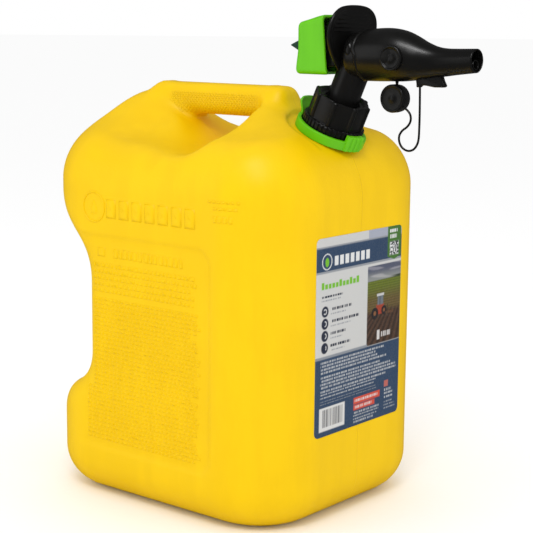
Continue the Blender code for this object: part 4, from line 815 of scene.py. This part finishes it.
def print_colours(u, v):
    """The print, u across and v up from the label's lower left corner, as layers of plain shapes."""
    pale, navy, white = (0.520, 0.520, 0.510), (0.022, 0.050, 0.105), (0.640, 0.650, 0.650)
    green, grey, dark = (0.150, 0.430, 0.015), (0.260, 0.275, 0.300), (0.012, 0.018, 0.040)
    red = (0.560, 0.060, 0.030)
    colours = paint_picture(np.zeros(u.shape + (3,)) + np.array(pale), u, v)
    # the head band between its grey edges, with a plain ring, a leaf and seven bars
    colours = boxes(colours, u, v, (
        (0.0785, 0.2, 0.1745, 0.19, (0.330, 0.350, 0.420)),
        (-0.01, 0.2, 0.1512, 0.1560, grey), (-0.01, 0.2, 0.1532, 0.1745, navy),
        (-0.01, 0.2, 0.1742, 0.1756, grey)))
    ring = np.abs(np.hypot(u - 0.0147, v - 0.1617) - 0.0070)
    colours = inked(colours, smooth_step(0.0005 - ring, -0.0002, 0.0002), white)
    leaf = smooth_step(0.0042 - np.hypot((u - 0.0147) * 1.5, v - 0.1612), -0.0003, 0.0003)
    colours = inked(colours, leaf, green)
    for left in 0.0260 + 0.0081 * np.arange(7):
        colours = inked(colours, box_mask(u, v, left, left + 0.0056, 0.1572, 0.1658), white)
    # the ribbon, pointed below, with its square of cells
    point = smooth_step(v - 0.1515 - 0.30 * np.abs(u - 0.1206), -0.0003, 0.0003)
    colours = inked(colours, box_mask(u, v, 0.1093, 0.1318, 0.1515, 0.2) * point, (0.050, 0.150, 0.020))
    code = box_mask(u, v, 0.1130, 0.1275, 0.1560, 0.1690)
    column, row = np.floor((u - 0.1130) / 0.00110), np.floor((v - 0.1560) / 0.00110)
    cells = np.sin(column * 12.99 + row * 78.23) * 43.7
    colours = inked(colours, code, white)
    colours = inked(colours, code * (cells % 1.0 > 0.45), (0.040, 0.050, 0.050))
    colours = lines(colours, u, v, white, ((1.0, 0.1125, 0.1285, 0.1808, 2, 0.0052, 0.0034, 1.0),))
    # green heading, dark lines, round signs and their lines of print
    for k, left in enumerate(0.0070 + 0.0053 * np.arange(11)):
        high = 0.1432 if k in (0, 5, 8, 10) else 0.1412
        colours = inked(colours, box_mask(u, v, left, left + 0.0040, 0.1368, high), green)
    colours = lines(colours, u, v, dark, ((1.0, 0.0070, 0.0480, 0.1310, 1, 0.0050, 0.0024, 2.0),))
    colours = lines(colours, u, v, grey, ((1.0, 0.0070, 0.0470, 0.1268, 1, 0.0050, 0.0011, 5.0),))
    for k, long in enumerate((0.031, 0.049, 0.031, 0.030)):
        cu, cv = 0.0127, 0.1163 - 0.0112 * k
        colours = disc(colours, u, v, cu, cv, 0.0051, dark)
        sign = smooth_step(0.00045 - np.abs(np.hypot(u - cu, v - cv) - 0.0022), -0.0002, 0.0002)
        colours = inked(colours, sign * (u - cu > -0.0016 + 0.0010 * k), white)
        upper = (1.0, 0.0218, 0.0218 + long, cv + 0.0024, 1, 0.0050, 0.0022, 3.0 + k)
        lower = (1.0, 0.0218, 0.0190 + 0.8 * long, cv - 0.0024, 1, 0.0050, 0.0011, k)
        colours = lines(lines(colours, u, v, dark, (upper,)), u, v, grey, (lower,))
    # the lower block with its lines, a box of thin upright bars, two red boxes and a small column
    colours = boxes(colours, u, v, (
        (-0.01, 0.2, -0.01, 0.0730, navy), (-0.01, 0.0790, 0.0725, 0.0750, (0.220, 0.240, 0.270))))
    colours = lines(colours, u, v, white, (
        (0.55, 0.0070, 0.128, 0.0700, 4, 0.0031, 0.0017, 1.0),
        (0.55, 0.0070, 0.128, 0.0565, 4, 0.0031, 0.0017, 2.0),
        (0.55, 0.0070, 0.126, 0.0435, 3, 0.0031, 0.0017, 4.0),
        (0.35, 0.0070, 0.0960, 0.0335, 2, 0.0023, 0.0010, 6.0)))
    colours = inked(colours, box_mask(u, v, 0.0062, 0.0450, 0.0050, 0.0270), (0.600, 0.600, 0.590))
    thin = np.sin(u * 5200.0 + 1.4 * np.sin(u * 1400.0)) > -0.1
    colours = inked(colours, box_mask(u, v, 0.0105, 0.0415, 0.0085, 0.0250) * thin, (0.050, 0.050, 0.060))
    colours = boxes(colours, u, v, (
        (0.0592, 0.1013, 0.0207, 0.0272, red), (0.0592, 0.0930, 0.0150, 0.0200, red),
        (0.1085, 0.1150, 0.0285, 0.0345, (0.420, 0.110, 0.090))))
    return lines(colours, u, v, white, (
        (0.7, 0.0610, 0.0990, 0.0255, 1, 0.0040, 0.0028, 9.0),
        (0.7, 0.0610, 0.0910, 0.0190, 1, 0.0040, 0.0026, 7.0),
        (0.5, 0.0592, 0.1000, 0.0132, 4, 0.0029, 0.0014, 3.0),
        (0.6, 0.1085, 0.1240, 0.0265, 3, 0.0036, 0.0022, 2.0),
        (0.4, 0.1085, 0.1290, 0.0140, 3, 0.0030, 0.0013, 8.0)))


def make_label(print_film):
    """A thin film on the front wall: a grid over the rounded rectangle, its rim turned back to the
    wall, and the print kept as a colour at each point."""
    low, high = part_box("front_label")
    wide, tall = high[1] - low[1], high[2] - low[2]
    corner, turn_back = 0.005, 0.0006
    step = 0.00062
    v, u = np.meshgrid(np.linspace(0.0, tall, int(tall / step)), np.linspace(0.0, wide, int(wide / step)),
                       indexing="ij")
    du, dv = np.abs(u - wide / 2) - (wide / 2 - corner), np.abs(v - tall / 2) - (tall / 2 - corner)
    reach = np.hypot(np.maximum(du, 0.0), np.maximum(dv, 0.0))
    shrink = np.where(reach > corner, corner / np.maximum(reach, 1e-9), 1.0)
    y = np.sign(u - wide / 2) * np.where(du > 0, wide / 2 - corner + du * shrink, np.abs(u - wide / 2))
    z = np.sign(v - tall / 2) * np.where(dv > 0, tall / 2 - corner + dv * shrink, np.abs(v - tall / 2))
    past = np.maximum(np.abs(y) - (HALF_WIDTH - CORNER_RADIUS), 0.0)
    x = high[0] - (CORNER_RADIUS - np.sqrt(CORNER_RADIUS ** 2 - past ** 2))
    points = np.stack([x, y + (low[1] + high[1]) / 2, z + (low[2] + high[2]) / 2], axis=-1).reshape(-1, 3)
    rows, columns = u.shape
    rim = np.concatenate([np.arange(columns), (np.arange(1, rows) + 1) * columns - 1,
                          u.size - 2 - np.arange(columns - 1), (rows - 2 - np.arange(rows - 2)) * columns])
    k = np.arange(len(rim))
    skirt = np.stack([rim, k + len(points), (k + 1) % len(rim) + len(points), np.roll(rim, -1)], axis=-1)
    back = points[rim] - [turn_back, 0.0, 0.0]
    quads = np.vstack([grid_quads(rows, columns), skirt])
    mesh = make_mesh("label_film", np.vstack([points, back]), quads)
    colours = print_colours(y + wide / 2, z + tall / 2).reshape(-1, 3)
    colours = np.vstack([colours, np.full((len(rim), 3), 0.5)])
    ink = mesh.color_attributes.new("ink", "FLOAT_COLOR", "POINT")
    ink.data.foreach_set("color", np.hstack([colours, np.ones((len(colours), 1))]).astype(np.float32).ravel())
    ride_on("can", show("label_film", mesh, print_film), "front_label")


# ================================================================ ring, tab and collar
def make_ring(green):
    """The lock ring: a rounded section carried round the seat.  At the thumb block its outer
    radius and its height grow, and three grooves run up the block."""
    gap, block_turn, block_half = radians(21.0), radians(-10.0), radians(17.0)
    inner, outer, tall, seat_gap = 0.0301, 0.0335, 0.0090, 0.0003
    sides = 900
    angle = np.linspace(-pi + gap, pi - gap, sides)
    off = angle - block_turn
    block = 1 - smooth_step(np.abs(off), block_half - radians(0.3), block_half + radians(0.3))
    groove = np.zeros(sides)
    for share in (-0.52, 0.0, 0.52):
        groove += 1 - smooth_step(np.abs(off - share * block_half), radians(0.9), radians(1.9))
    outer = outer + 0.0015 * block - 0.0009 * groove * block
    tall = tall + 0.0060 * block
    section = finer(rounded_profile([(0, 0), (3.4, 0), (3.4, 9), (0, 9)], 0.6) / [3.4, 9.0], 0.12)
    radius = inner + section[None, :, 0] * (outer - inner)[:, None]
    height = seat_gap + section[None, :, 1] * (tall - seat_gap)[:, None]
    band = from_neck(spun(radius, angle[:, None], height))
    ride_on("can", capped("ring_band", band, green), "lock_ring")


def make_tab(green):
    """The release tab: a tongue that rises from the ring, leans outwards and flares at its tip.
    Its section, a thin rounded rectangle, follows the ring's curve across the width."""
    share = np.linspace(0.0, 1.0, 60)
    height = 0.0006 + 0.0206 * share
    middle = 0.0322 + 0.0052 * smooth_step(share, 0.35, 1.0)
    half = 0.0100 + 0.0014 * smooth_step(share, 0.45, 0.80) - 0.0030 * smooth_step(share, 0.86, 1.0) ** 2
    thick = 0.0011 - 0.0004 * smooth_step(share, 0.9, 1.0)
    section = finer(rounded_profile([(-1, -1), (1, -1), (1, 1), (-1, 1)], 0.16), 0.12)
    across = section[None, :, 0] * half[:, None]
    radius = middle[:, None] + section[None, :, 1] * thick[:, None]
    crown = 0.0006 * (1 - (across / 0.0114) ** 2) * smooth_step(share, 0.8, 1.0)[:, None]
    tongue = spun(radius, pi + across / middle[:, None], height[:, None] + crown)
    ride_on("tab", capped("tab_tongue", from_neck(tongue), green), "release_tab")


def make_collar(black):
    """The collar: a toothed skirt under an eight-sided nut with a rounded rib on each corner.
    The nut's radius is flat / cos(angle from the flat's middle); a rib is a circle set on the
    corner; the teeth are a trapezoid wave of forty periods."""
    teeth, flat, rib_radius, tip_radius, root_radius, tooth_height = 40, 0.0243, 0.0023, 0.0271, 0.0278, 0.0013
    angle = circle(960)
    eighth = pi / 4
    from_flat = (angle + eighth / 2) % eighth - eighth / 2
    from_corner = angle % eighth - eighth / 2
    corner = flat / cos(eighth / 2) - 0.0014
    across = corner * np.sin(from_corner)
    bulge = np.sqrt(np.maximum(rib_radius ** 2 - across ** 2, 0.0))
    rib = np.where(np.abs(across) < rib_radius, corner * np.cos(from_corner) + bulge, 0.0)
    nut = 0.55 * flat / np.cos(from_flat) + 0.45 * (flat + 0.0007)
    nut = np.minimum(smooth_max(nut, rib, 0.0005), tip_radius)
    wave = (angle * teeth / (2 * pi)) % 1.0
    skirt = root_radius + tooth_height * smooth_step(0.5 - np.abs(wave - 0.5), 0.16, 0.24)
    profile = [  # height, share of skirt, share of nut, plain radius
        (0.0036, 0, 0, 0.0272), (0.0030, 0, 0, 0.0266), (0.0030, 0, 0, 0.0236), (0.0034, 0, 0, 0.0229),
        (0.0100, 0, 0, 0.0228), (0.0200, 0, 0, 0.0228), (0.0349, 0, 0, 0.0228), (0.0350, 0, 0, 0.0200),
        (0.0350, 0, 0, 0.0172), (0.0354, 0, 0, 0.0168), (0.0360, 0, 0, 0.0170), (0.0362, 0, 0, 0.0180),
        (0.0363, 0, 0, 0.0198), (0.0366, 0, 0, 0.0204), (0.0378, 0, 0, 0.0206), (0.0386, 0, 0.3, 0.0209),
        (0.0390, 0, 0.62, 0.0209), (0.0389, 0, 0.86, 0.0209), (0.0385, 0, 0.95, 0.0209), (0.0378, 0, 1, 0),
        (0.0340, 0, 1, 0), (0.0280, 0, 1, 0), (0.0220, 0, 1, 0), (0.0185, 0, 1, 0), (0.0170, 0, 1, 0),
        (0.0163, 0, 0.97, 0.0250), (0.0160, 0, 0.80, 0.0256), (0.0159, 0, 0, 0.0262), (0.0158, 0, 0, 0.0270),
        (0.0156, 0.7, 0, 0.0270), (0.0152, 1, 0, 0), (0.0120, 1, 0, 0), (0.0080, 1, 0, 0), (0.0042, 1, 0, 0),
        (0.0037, 0.6, 0, 0.0272),
    ]
    height, on_skirt, on_nut, plain = np.array(profile).T[:, None, :]
    radius = on_skirt * skirt[:, None] + on_nut * nut[:, None] + (1 - on_skirt - on_nut) * plain
    grid = from_neck(spun(radius, angle[:, None], height))
    ride_on("collar", ringed("collar_nut", grid, black), "spout_collar")


# ================================================================ elbow
def make_elbow(black):
    """Stem, round housing, side boss and guide block, each its own smooth surface."""
    under, top, over = 0.0317, 0.0347, STEM_TOP + 0.004
    stem = rounded_profile([(STEM_BORE, under), (NECK_RADIUS, under), (NECK_RADIUS, top), (STEM_RADIUS, top),
                            (STEM_RADIUS - 0.0003, over), (STEM_BORE, over)],
                           [0.0004, 0.0005, 0.0005, 0.0008, 0.0010, 0.0004])
    ride_on("spout", ringed("stem_pipe", from_neck(turned(finer(stem, 0.003), 96)), black), "elbow_body")
    hole, bore, spigot = 0.0060, 0.0165, 0.0198
    profile = rounded_profile([(hole, 0.1400), (0.0195, 0.1400), (HOUSING_RADIUS, 0.1445),
                               (HOUSING_RADIUS, 0.1535), (spigot, 0.1540), (spigot, 0.1597),
                               (bore, 0.1597), (bore, 0.1440), (hole, 0.1440)],
                              [0.0006, 0.0042, 0.0040, 0.0004, 0.0004, 0.0006, 0.0006, 0.001, 0.001], 7)
    ride_on("spout", ringed("housing_ring", along_barrel(turned(finer(profile, 0.002), 120)), black))
    line = np.linspace([0.1085, 0.0, BARREL_Z], [0.1420, 0.0, BARREL_Z], 12)
    ride_on("spout", capped("boss_rod", tube_grid(line, 0.0075, 48), black))
    guide = rounded_block((0.0976, -0.0110, 0.4195), (0.1260, 0.0110, 0.4570), 0.0014)
    ride_on("spout", capped("guide_block", guide, black))
    for name, side in (("right", -1), ("left", 1)):
        ride_on("spout", make_ear("side_ear_" + name, black, side))


def along_barrel(grid):
    """(a, b, x) points turned so that their third number runs along the barrel's axis."""
    a, b, x = np.moveaxis(grid, -1, 0)
    return np.stack([x, a, BARREL_Z + b], axis=-1)


def rounded_block(low, high, radius):
    """A box with rounded edges: a round-cornered rectangle in Y and Z, drawn inwards near both
    ends by radius * (1 - cos a) as it runs along X."""
    low, high = np.array(low), np.array(high)
    a = np.linspace(0.0, pi / 2, 5)
    inset = np.concatenate([radius * (1 - np.sin(a)), radius * (1 - np.cos(a))])
    x = np.concatenate([low[0] + radius * (1 - np.cos(a)), high[0] - radius * (1 - np.sin(a))])
    half, middle = (high - low)[1:] / 2, (low + high) / 2
    unit = finer(rounded_profile(half * [(-1, -1), (1, -1), (1, 1), (-1, 1)], radius * 1.4), 0.003)
    flat = unit[None] * (1 - inset[:, None, None] / half[None, None, :]) + middle[1:]
    return np.stack([np.broadcast_to(x[:, None], flat.shape[:2]), flat[..., 0], flat[..., 1]], axis=-1)


def make_ear(name, black, side):
    """A round boss on the housing's side: a dome whose rim sinks into the housing."""
    a = circle(56)[None]
    share = np.linspace(0.03, 1.0, 14)[:, None]
    x = 0.1475 + 0.0062 * share * np.cos(a)
    z = BARREL_Z + 0.0050 + 0.0098 * share * np.sin(a)
    y = side * (0.0218 - 0.0075 * share ** 4 - 0.0015 * share ** 2)
    return capped(name, np.stack([x, y + 0 * a, z], axis=-1), black)


# ================================================================ nozzle
BARREL_STATIONS = (    # distance from the rear, height over the axis, radius
    (0.0000, 0.0000, 0.0225), (0.0060, 0.0005, 0.0229), (0.0180, 0.0012, 0.0235), (0.0320, 0.0015, 0.0234),
    (0.0450, 0.0007, 0.0222), (0.0560, -0.0008, 0.0196), (0.0670, -0.0025, 0.0161), (0.0780, -0.0036, 0.0134),
    (0.0880, -0.0038, 0.0121), (0.1000, -0.0030, 0.0112), (0.1185, -0.0017, 0.0103),
)
HOOK_OUTLINE = (    # distance from the barrel's rear, height over its bottom
    (0.0568, 0.0080), (0.0578, 0.0030), (0.0588, 0.0008), (0.0588, -0.0036), (0.0622, -0.0036),
    (0.0629, -0.0026), (0.0646, -0.0017), (0.0688, -0.0019), (0.0772, -0.0031), (0.0868, -0.0029),
    (0.0885, -0.0016), (0.0860, 0.0026), (0.0838, 0.0085),
)


def make_barrel(black):
    """The nozzle: circles of a smoothly changing radius and height, closed round the lip and back
    along the inside.  Its rear edge steps forward by a few millimetres below the side boss, and a
    fine bead and groove run round behind it."""
    run, rise, radius = smooth_line(BARREL_STATIONS, 220).T
    thick = BARREL_WALL - 0.0010 * smooth_step(run, 0.100, 0.1185)
    lip = np.linspace(0.0, pi, 9)[1:-1]
    lip_radius = radius[-1] - thick[-1] / 2 + thick[-1] / 2 * np.cos(lip)
    outwards, inwards = slice(None, -1), slice(-2, None, -1)
    run_all = np.concatenate([run[outwards], run[-1] - 0.0008 + 0.0008 * np.sin(lip), run[inwards]])
    rise_all = np.concatenate([rise[outwards], np.full(len(lip), rise[-1]), rise[inwards]])
    radius_all = np.concatenate([radius[outwards], lip_radius, (radius - thick)[inwards]])
    outside = np.arange(len(run_all)) < len(run)
    angle = circle(144)[None]
    step = smooth_step(-np.sin(angle), -0.30, 0.02) * smooth_step(np.abs(np.cos(angle)), 0.05, 0.30)
    forward = 0.0040 * step * (1 - smooth_step(run_all, 0.0, 0.014))[:, None]
    rear_round = 0.0006 * (1 - smooth_step(run_all, 0.0, 0.0018))
    bead = 0.0005 * np.exp(-((run_all - 0.0016) / 0.0011) ** 2)
    groove = 0.0004 * np.exp(-((run_all - 0.0042) / 0.0009) ** 2)
    skin = (radius_all + (bead - groove - rear_round) * outside)[:, None]
    grid = np.stack([BARREL_REAR + run_all[:, None] + forward, skin * np.cos(angle),
                     BARREL_Z + rise_all[:, None] + skin * np.sin(angle)], axis=-1)
    ride_on("spout", ringed("barrel_shell", grid, black), "nozzle_barrel")
    hook_place = [BARREL_REAR, BARREL_Z - BARREL_STATIONS[0][2]]
    outline = rounded_profile(np.array(HOOK_OUTLINE) + hook_place, 0.0010, 4)
    ride_on("spout", plate("hook_fin", finer(outline, 0.0015), 0.0025, 0.0008, black))
    stub = np.linspace([0.1870, 0.0, 0.4058], [0.1870, 0.0, 0.4105], 8)
    ride_on("spout", capped("cap_stub", tube_grid(stub, np.linspace(0.0012, 0.0019, 8), 32), black))


def make_badges(black):
    """Round side badges: a disc with a rim bead, a groove and a low dome, turned about Y."""
    profile = [(0.0002, 0.0226), (0.0022, 0.0225), (0.0034, 0.0224), (0.0040, 0.0221), (0.0060, 0.0220),
               (0.0082, 0.0219), (0.0086, 0.0221), (0.0090, 0.0229), (0.0094, 0.0233), (0.0100, 0.0234),
               (0.0106, 0.0233), (0.0110, 0.0229), (0.0112, 0.0222), (0.0112, 0.0150), (0.0002, 0.0150)]
    a, b, out = np.moveaxis(turned(profile, 96), -1, 0)
    near = np.hypot(a, b)
    spoke = 0.00022 * smooth_step(np.cos(3 * np.arctan2(b, a)), 0.4, 0.7) * (out > 0.02)
    spoke = spoke * smooth_step(near, 0.0018, 0.0026) * (1 - smooth_step(near, 0.0052, 0.0062))
    for name, side in (("right", -1), ("left", 1)):
        grid = np.stack([0.1943 + a, side * (out + spoke), BARREL_Z - 0.0008 + b], axis=-1)
        ride_on("spout", capped("badge_disc_" + name, np.swapaxes(grid, 0, 1), black), "badge_" + name)


def make_flange(black):
    """The finger flange: scaled copies of its outline, front and back, with a rounded rim and five
    level ridges across the upper part of its front."""
    right = [(0.0105, -0.0150), (0.0153, -0.0110), (0.0226, -0.0040), (0.0307, 0.0060), (0.0354, 0.0160),
             (0.0365, 0.0245), (0.0343, 0.0325), (0.0292, 0.0388), (0.0212, 0.0432), (0.0110, 0.0450)]
    knots = np.array(right + [(0.0, 0.0454)] + [(-u, v) for u, v in right[::-1]] + [(0.0, -0.0160)])
    ring = smooth_line(np.vstack([knots, knots[:1]]), 241)[:-1]
    centre, lean = np.array([0.0, 0.0160]), radians(7.0)
    share = np.concatenate([np.linspace(0.01, 0.93, 70), np.linspace(0.935, 1.0, 9)])
    thick = 0.0015 * np.sqrt(np.clip(1 - ((share - 0.93) / 0.07).clip(0) ** 2, 0.0, 1.0))
    thick = (thick + 0.00035 * smooth_step(share, 0.86, 0.90) * (thick > 0.0002))[:, None]
    across, up = np.moveaxis(centre + share[:, None, None] * (ring - centre), -1, 0)
    rib = smooth_step(np.sin((up - 0.0215) / 0.0036 * 2 * pi), 0.55, 0.95)
    rib = rib * smooth_step(up, 0.0210, 0.0225) * (1 - smooth_step(up, 0.0395, 0.0405))
    rib = 0.0006 * rib * (1 - smooth_step(share, 0.74, 0.80))[:, None]
    front = np.stack([thick + rib, across, up], axis=-1)
    back = np.stack([-thick + 0 * rib, across, up], axis=-1)[::-1][1:]
    out, across, up = np.moveaxis(np.concatenate([front, back]), -1, 0)
    out = out + 0.0015 * (np.hypot(across, up - 0.012) / 0.036) ** 3
    grid = np.stack([0.1325 + out * cos(lean) + up * sin(lean), across,
                     BARREL_Z + up * cos(lean) - out * sin(lean)], axis=-1)
    ride_on("spout", capped("flange_plate", grid, black), "finger_flange")


def make_vent(black):
    """The vent pipe: a straight pipe with a rounded lip."""
    start, end = np.array([0.2200, 0.0, 0.4198]), np.array([0.2673, 0.0, 0.4247])
    share = np.concatenate([np.linspace(0.0, 1.0, 20), [1.004, 1.0], np.linspace(0.99, 0.0, 20)])
    radius = np.concatenate([np.full(20, 0.0046), [0.0042, 0.0037], np.full(20, 0.0036)])
    across = np.array([0.0, 1.0, 0.0])
    lift = np.cross((end - start) / np.linalg.norm(end - start), across)
    grid = section_grid(start + share[:, None] * (end - start), radius, across, lift, 64)
    ride_on("spout", ringed("vent_pipe", grid, black), "vent_tube")


# ================================================================ trigger and latch
def make_trigger(green):
    """The thumb trigger: a round-cornered section carried from a rounded rear wall to an open
    front, then back along the inside.  Its roof falls towards the rear, its rear wall leans out
    at the bottom, and its floor is cut back in the middle to clear the stem."""
    rear, front, wall, radius = 0.0862, 0.1204, 0.0025, 0.0040
    low, high, half = 0.4122, 0.4662, 0.0170
    lip_radius, straight = 0.0005, 26
    a = np.linspace(0.06, pi / 2, 9)
    lip = np.linspace(0.0, pi, 7)[1:-1]
    x = np.concatenate([[rear], rear + radius * (1 - np.cos(a)),
                        np.linspace(rear + radius + 0.001, front - lip_radius, straight),
                        front - lip_radius + lip_radius * np.sin(lip),
                        np.linspace(front - lip_radius, rear + wall, 24)])
    inset = np.concatenate([[radius * 1.6], radius * (1 - np.sin(a)), np.zeros(straight),
                            wall / 2 * (1 - np.cos(lip)), np.full(20, wall),
                            wall + 0.0012 * np.linspace(0.1, 1.0, 4) ** 2])
    x, inset = x[:, None], inset[:, None]
    reach, tall = front - rear, (high - low) / 2
    outline = [(-half, -tall), (half, -tall), (half, tall), (-half, tall)]
    unit = finer(rounded_profile(outline, 0.0052, 9), 0.0016)
    y, z = unit[None, :, 0] * (1 - inset / half), unit[None, :, 1] * (1 - inset / tall)
    share, run = (z + tall) / (2 * tall), (x - rear) / reach
    cut_floor = smooth_step(-z, tall * 0.86, tall * 0.93) * (1 - smooth_step(np.abs(y), 0.0120, 0.0138))
    stem_room = 0.0080 * cut_floor * smooth_step(run, 0.55, 1.0)
    slant = 0.0050 * share * smooth_step(run, 0.3, 1.0)
    toe = 0.0022 * smooth_step(1 - share, 0.45, 0.95) * (1 - smooth_step(run, 0.0, 0.6))
    roof = 0.0072 * share / reach * (front - x) - 0.0006 * np.sin(pi * run) * (share > 0.5)
    waist = 1 - 0.012 * np.sin(pi * share)
    grid = np.stack([x - stem_room - slant - toe, y * waist, low + tall + z - roof], axis=-1)
    ride_on("trigger", capped("trigger_shell", grid, green), "trigger")


def make_latch(dark_green):
    """The latch: a lever with a beak, its edges rounded, narrowed to a point at the tip."""
    outline = rounded_profile([(0.0665, 0.4380), (0.0765, 0.4336), (0.0890, 0.4327), (0.1005, 0.4340),
                               (0.1085, 0.4362), (0.1121, 0.4385), (0.1121, 0.4420), (0.1085, 0.4440),
                               (0.1005, 0.4450), (0.0890, 0.4440), (0.0765, 0.4424),
                               (0.0673, 0.4388)], 0.0012, 4)
    latch = plate("latch_lever", finer(outline, 0.0012), 0.0032, 0.0010, dark_green)
    points = np.empty(len(latch.data.vertices) * 3)
    latch.data.vertices.foreach_get("co", points)
    points[1::3] *= 0.28 + 0.72 * smooth_step(points[::3], 0.0660, 0.0800)
    latch.data.vertices.foreach_set("co", points)
    latch.data.update()
    ride_on("latch", latch, "safety_latch")


# ================================================================ dust cap and tether
def make_cap(black, rubber):
    """The dust cap, turned about Y: a rimmed face, a wall with a fine step, and a hollow."""
    shell = [(0.0003, -0.0056), (0.0022, -0.0056), (0.0028, -0.0053), (0.0060, -0.0052), (0.0094, -0.0052),
             (0.0100, -0.0053), (0.0106, -0.0058), (0.0112, -0.0060), (0.0119, -0.0059), (0.0124, -0.0055),
             (0.0126, -0.0048), (0.0126, -0.0020), (0.0126, 0.0018), (0.01255, 0.0021), (0.0123, 0.0023),
             (0.0122, 0.0026), (0.0122, 0.0052), (0.0120, 0.0058), (0.0116, 0.0060), (0.0111, 0.0059),
             (0.0108, 0.0054), (0.0108, 0.0), (0.0108, -0.0034), (0.0104, -0.0036), (0.0003, -0.0036)]
    liner = [(0.0020, -0.0033), (0.0105, -0.0033), (0.0105, -0.0024), (0.0098, -0.0022), (0.0060, -0.0023),
             (0.0022, -0.0023)]
    shell, liner = (turned(profile, 120)[..., [0, 2, 1]] + [0.1855, 0.0, 0.3932] for profile in (shell, liner))
    ride_on("cap", capped("cap_shell", np.swapaxes(shell, 0, 1), black), "dust_cap")
    ride_on("cap", ringed("liner_disc", liner, rubber), "cap_liner")


TETHER_ROUTE = (    # distance from the barrel's rear, height over its axis; it starts inside the hook
    (0.0613, -0.0255), (0.0615, -0.0340), (0.0617, -0.0440), (0.0618, -0.0540), (0.0617, -0.0640),
    (0.0614, -0.0710), (0.0600, -0.0763), (0.0566, -0.0807), (0.0520, -0.0825), (0.0474, -0.0819),
    (0.0432, -0.0791), (0.0408, -0.0744), (0.0409, -0.0693), (0.0440, -0.0649), (0.0485, -0.0617),
    (0.0516, -0.0579), (0.0526, -0.0538), (0.0516, -0.0500), (0.0492, -0.0472), (0.0463, -0.0451),
)


def make_tether(black):
    """The strap from the hook to the dust cap: a round section along a smooth line in Y = 0."""
    run, rise = smooth_line(TETHER_ROUTE, 150).T
    line = np.stack([BARREL_REAR + run, 0 * run, BARREL_Z + rise], axis=1)
    tether = capped("tether_strap", tube_grid(line, 0.0010, 16), black)
    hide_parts("cap_tether")
    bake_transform(tether)


def make_spring(steel):
    """The return spring: a wire on a helix, seven turns, its ends closed flat."""
    share = np.linspace(0.0, 1.0, 420)
    angle = share * 7 * 2 * pi
    reach = 0.0895 + 0.0265 * smooth_step(share, -0.05, 1.05)
    axis = np.stack([reach, 0 * share, 0 * share + BARREL_Z - 0.0035], axis=1)
    outward = np.stack([0 * angle, np.cos(angle), np.sin(angle)], axis=1)
    line = axis + 0.0041 * outward
    along = np.gradient(line, axis=0)
    along /= np.linalg.norm(along, axis=1, keepdims=True)
    grid = section_grid(line, 0.0005, outward, np.cross(along, outward), 10)
    spring = capped("return_spring", grid, steel)
    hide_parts("trigger_spring")
    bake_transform(spring)


# ================================================================ assembly
def ride_on(body, piece, *nodes):
    """The piece moves with a body and stands for the CAD nodes it is named with."""
    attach(piece, body)
    if nodes:
        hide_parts(*nodes)


def dress(node, material):
    """Gives a CAD node, which keeps its own shape, a better material."""
    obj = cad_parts[node]
    for k in range(len(obj.material_slots)):
        obj.material_slots[k].material = material


YELLOW, YELLOW_SHADE = (0.830, 0.530, 0.0003), (0.800, 0.505, 0.0003)
GREEN, GREEN_SHADE = (0.122, 0.520, 0.001), (0.110, 0.485, 0.001)
DARK_GREEN, DARK_GREEN_SHADE = (0.010, 0.055, 0.035), (0.008, 0.045, 0.028)
BLACK, BLACK_SHADE = (0.0050, 0.0048, 0.0045), (0.0036, 0.0035, 0.0033)
RUBBER, RUBBER_SHADE = (0.020, 0.020, 0.020), (0.015, 0.015, 0.015)
ACETAL, ACETAL_SHADE = (0.74, 0.73, 0.69), (0.68, 0.67, 0.62)

place_camera()
MOULDED_SKIN = make_moulded_skin()
satin_black = moulded("black_moulding", BLACK, BLACK_SHADE, 0.30, 0.25, 1100.0, 0.22, 0.16, 0.00012)[0]
make_tether(satin_black)
make_studio()
yellow_skin = make_yellow()
green_moulding = moulded("green_moulding", GREEN, GREEN_SHADE, 0.40, 0.25, 900.0, 0.12, 0.12, 0.00012)[0]
dark_green_moulding = moulded("dark_green_moulding", DARK_GREEN, DARK_GREEN_SHADE, 0.38, 0.25, 900.0, 0.2, 0.12,
                              0.00012)[0]
seal_rubber = moulded("seal_rubber", RUBBER, RUBBER_SHADE, 0.68, 0.5, 1400.0, 0.1, 0.1, 0.0001)[0]
natural_acetal = moulded("natural_acetal", ACETAL, ACETAL_SHADE, 0.42, 0.2, 1000.0, 0.1, 0.1, 0.0001)[0]
drawn_steel = make_metal("drawn_steel", (0.56, 0.56, 0.57), 0.28, 1500.0)
woven_steel = make_woven_steel()
film = make_print()

make_can(yellow_skin)
make_side_marks(yellow_skin)
make_label(film)
make_ring(green_moulding)
make_tab(green_moulding)
make_collar(satin_black)
make_elbow(satin_black)
make_barrel(satin_black)
make_badges(satin_black)
make_flange(satin_black)
make_vent(satin_black)
make_trigger(green_moulding)
make_latch(dark_green_moulding)
make_cap(satin_black, seal_rubber)
make_spring(drawn_steel)
for node_name, finish in (("neck_gasket", seal_rubber), ("poppet_seal", seal_rubber),
                          ("flame_screen", woven_steel), ("air_tube", natural_acetal),
                          ("valve_seat", natural_acetal), ("valve_poppet", natural_acetal),
                          ("valve_rod", drawn_steel), ("latch_pin", drawn_steel)):
    dress(node_name, finish)
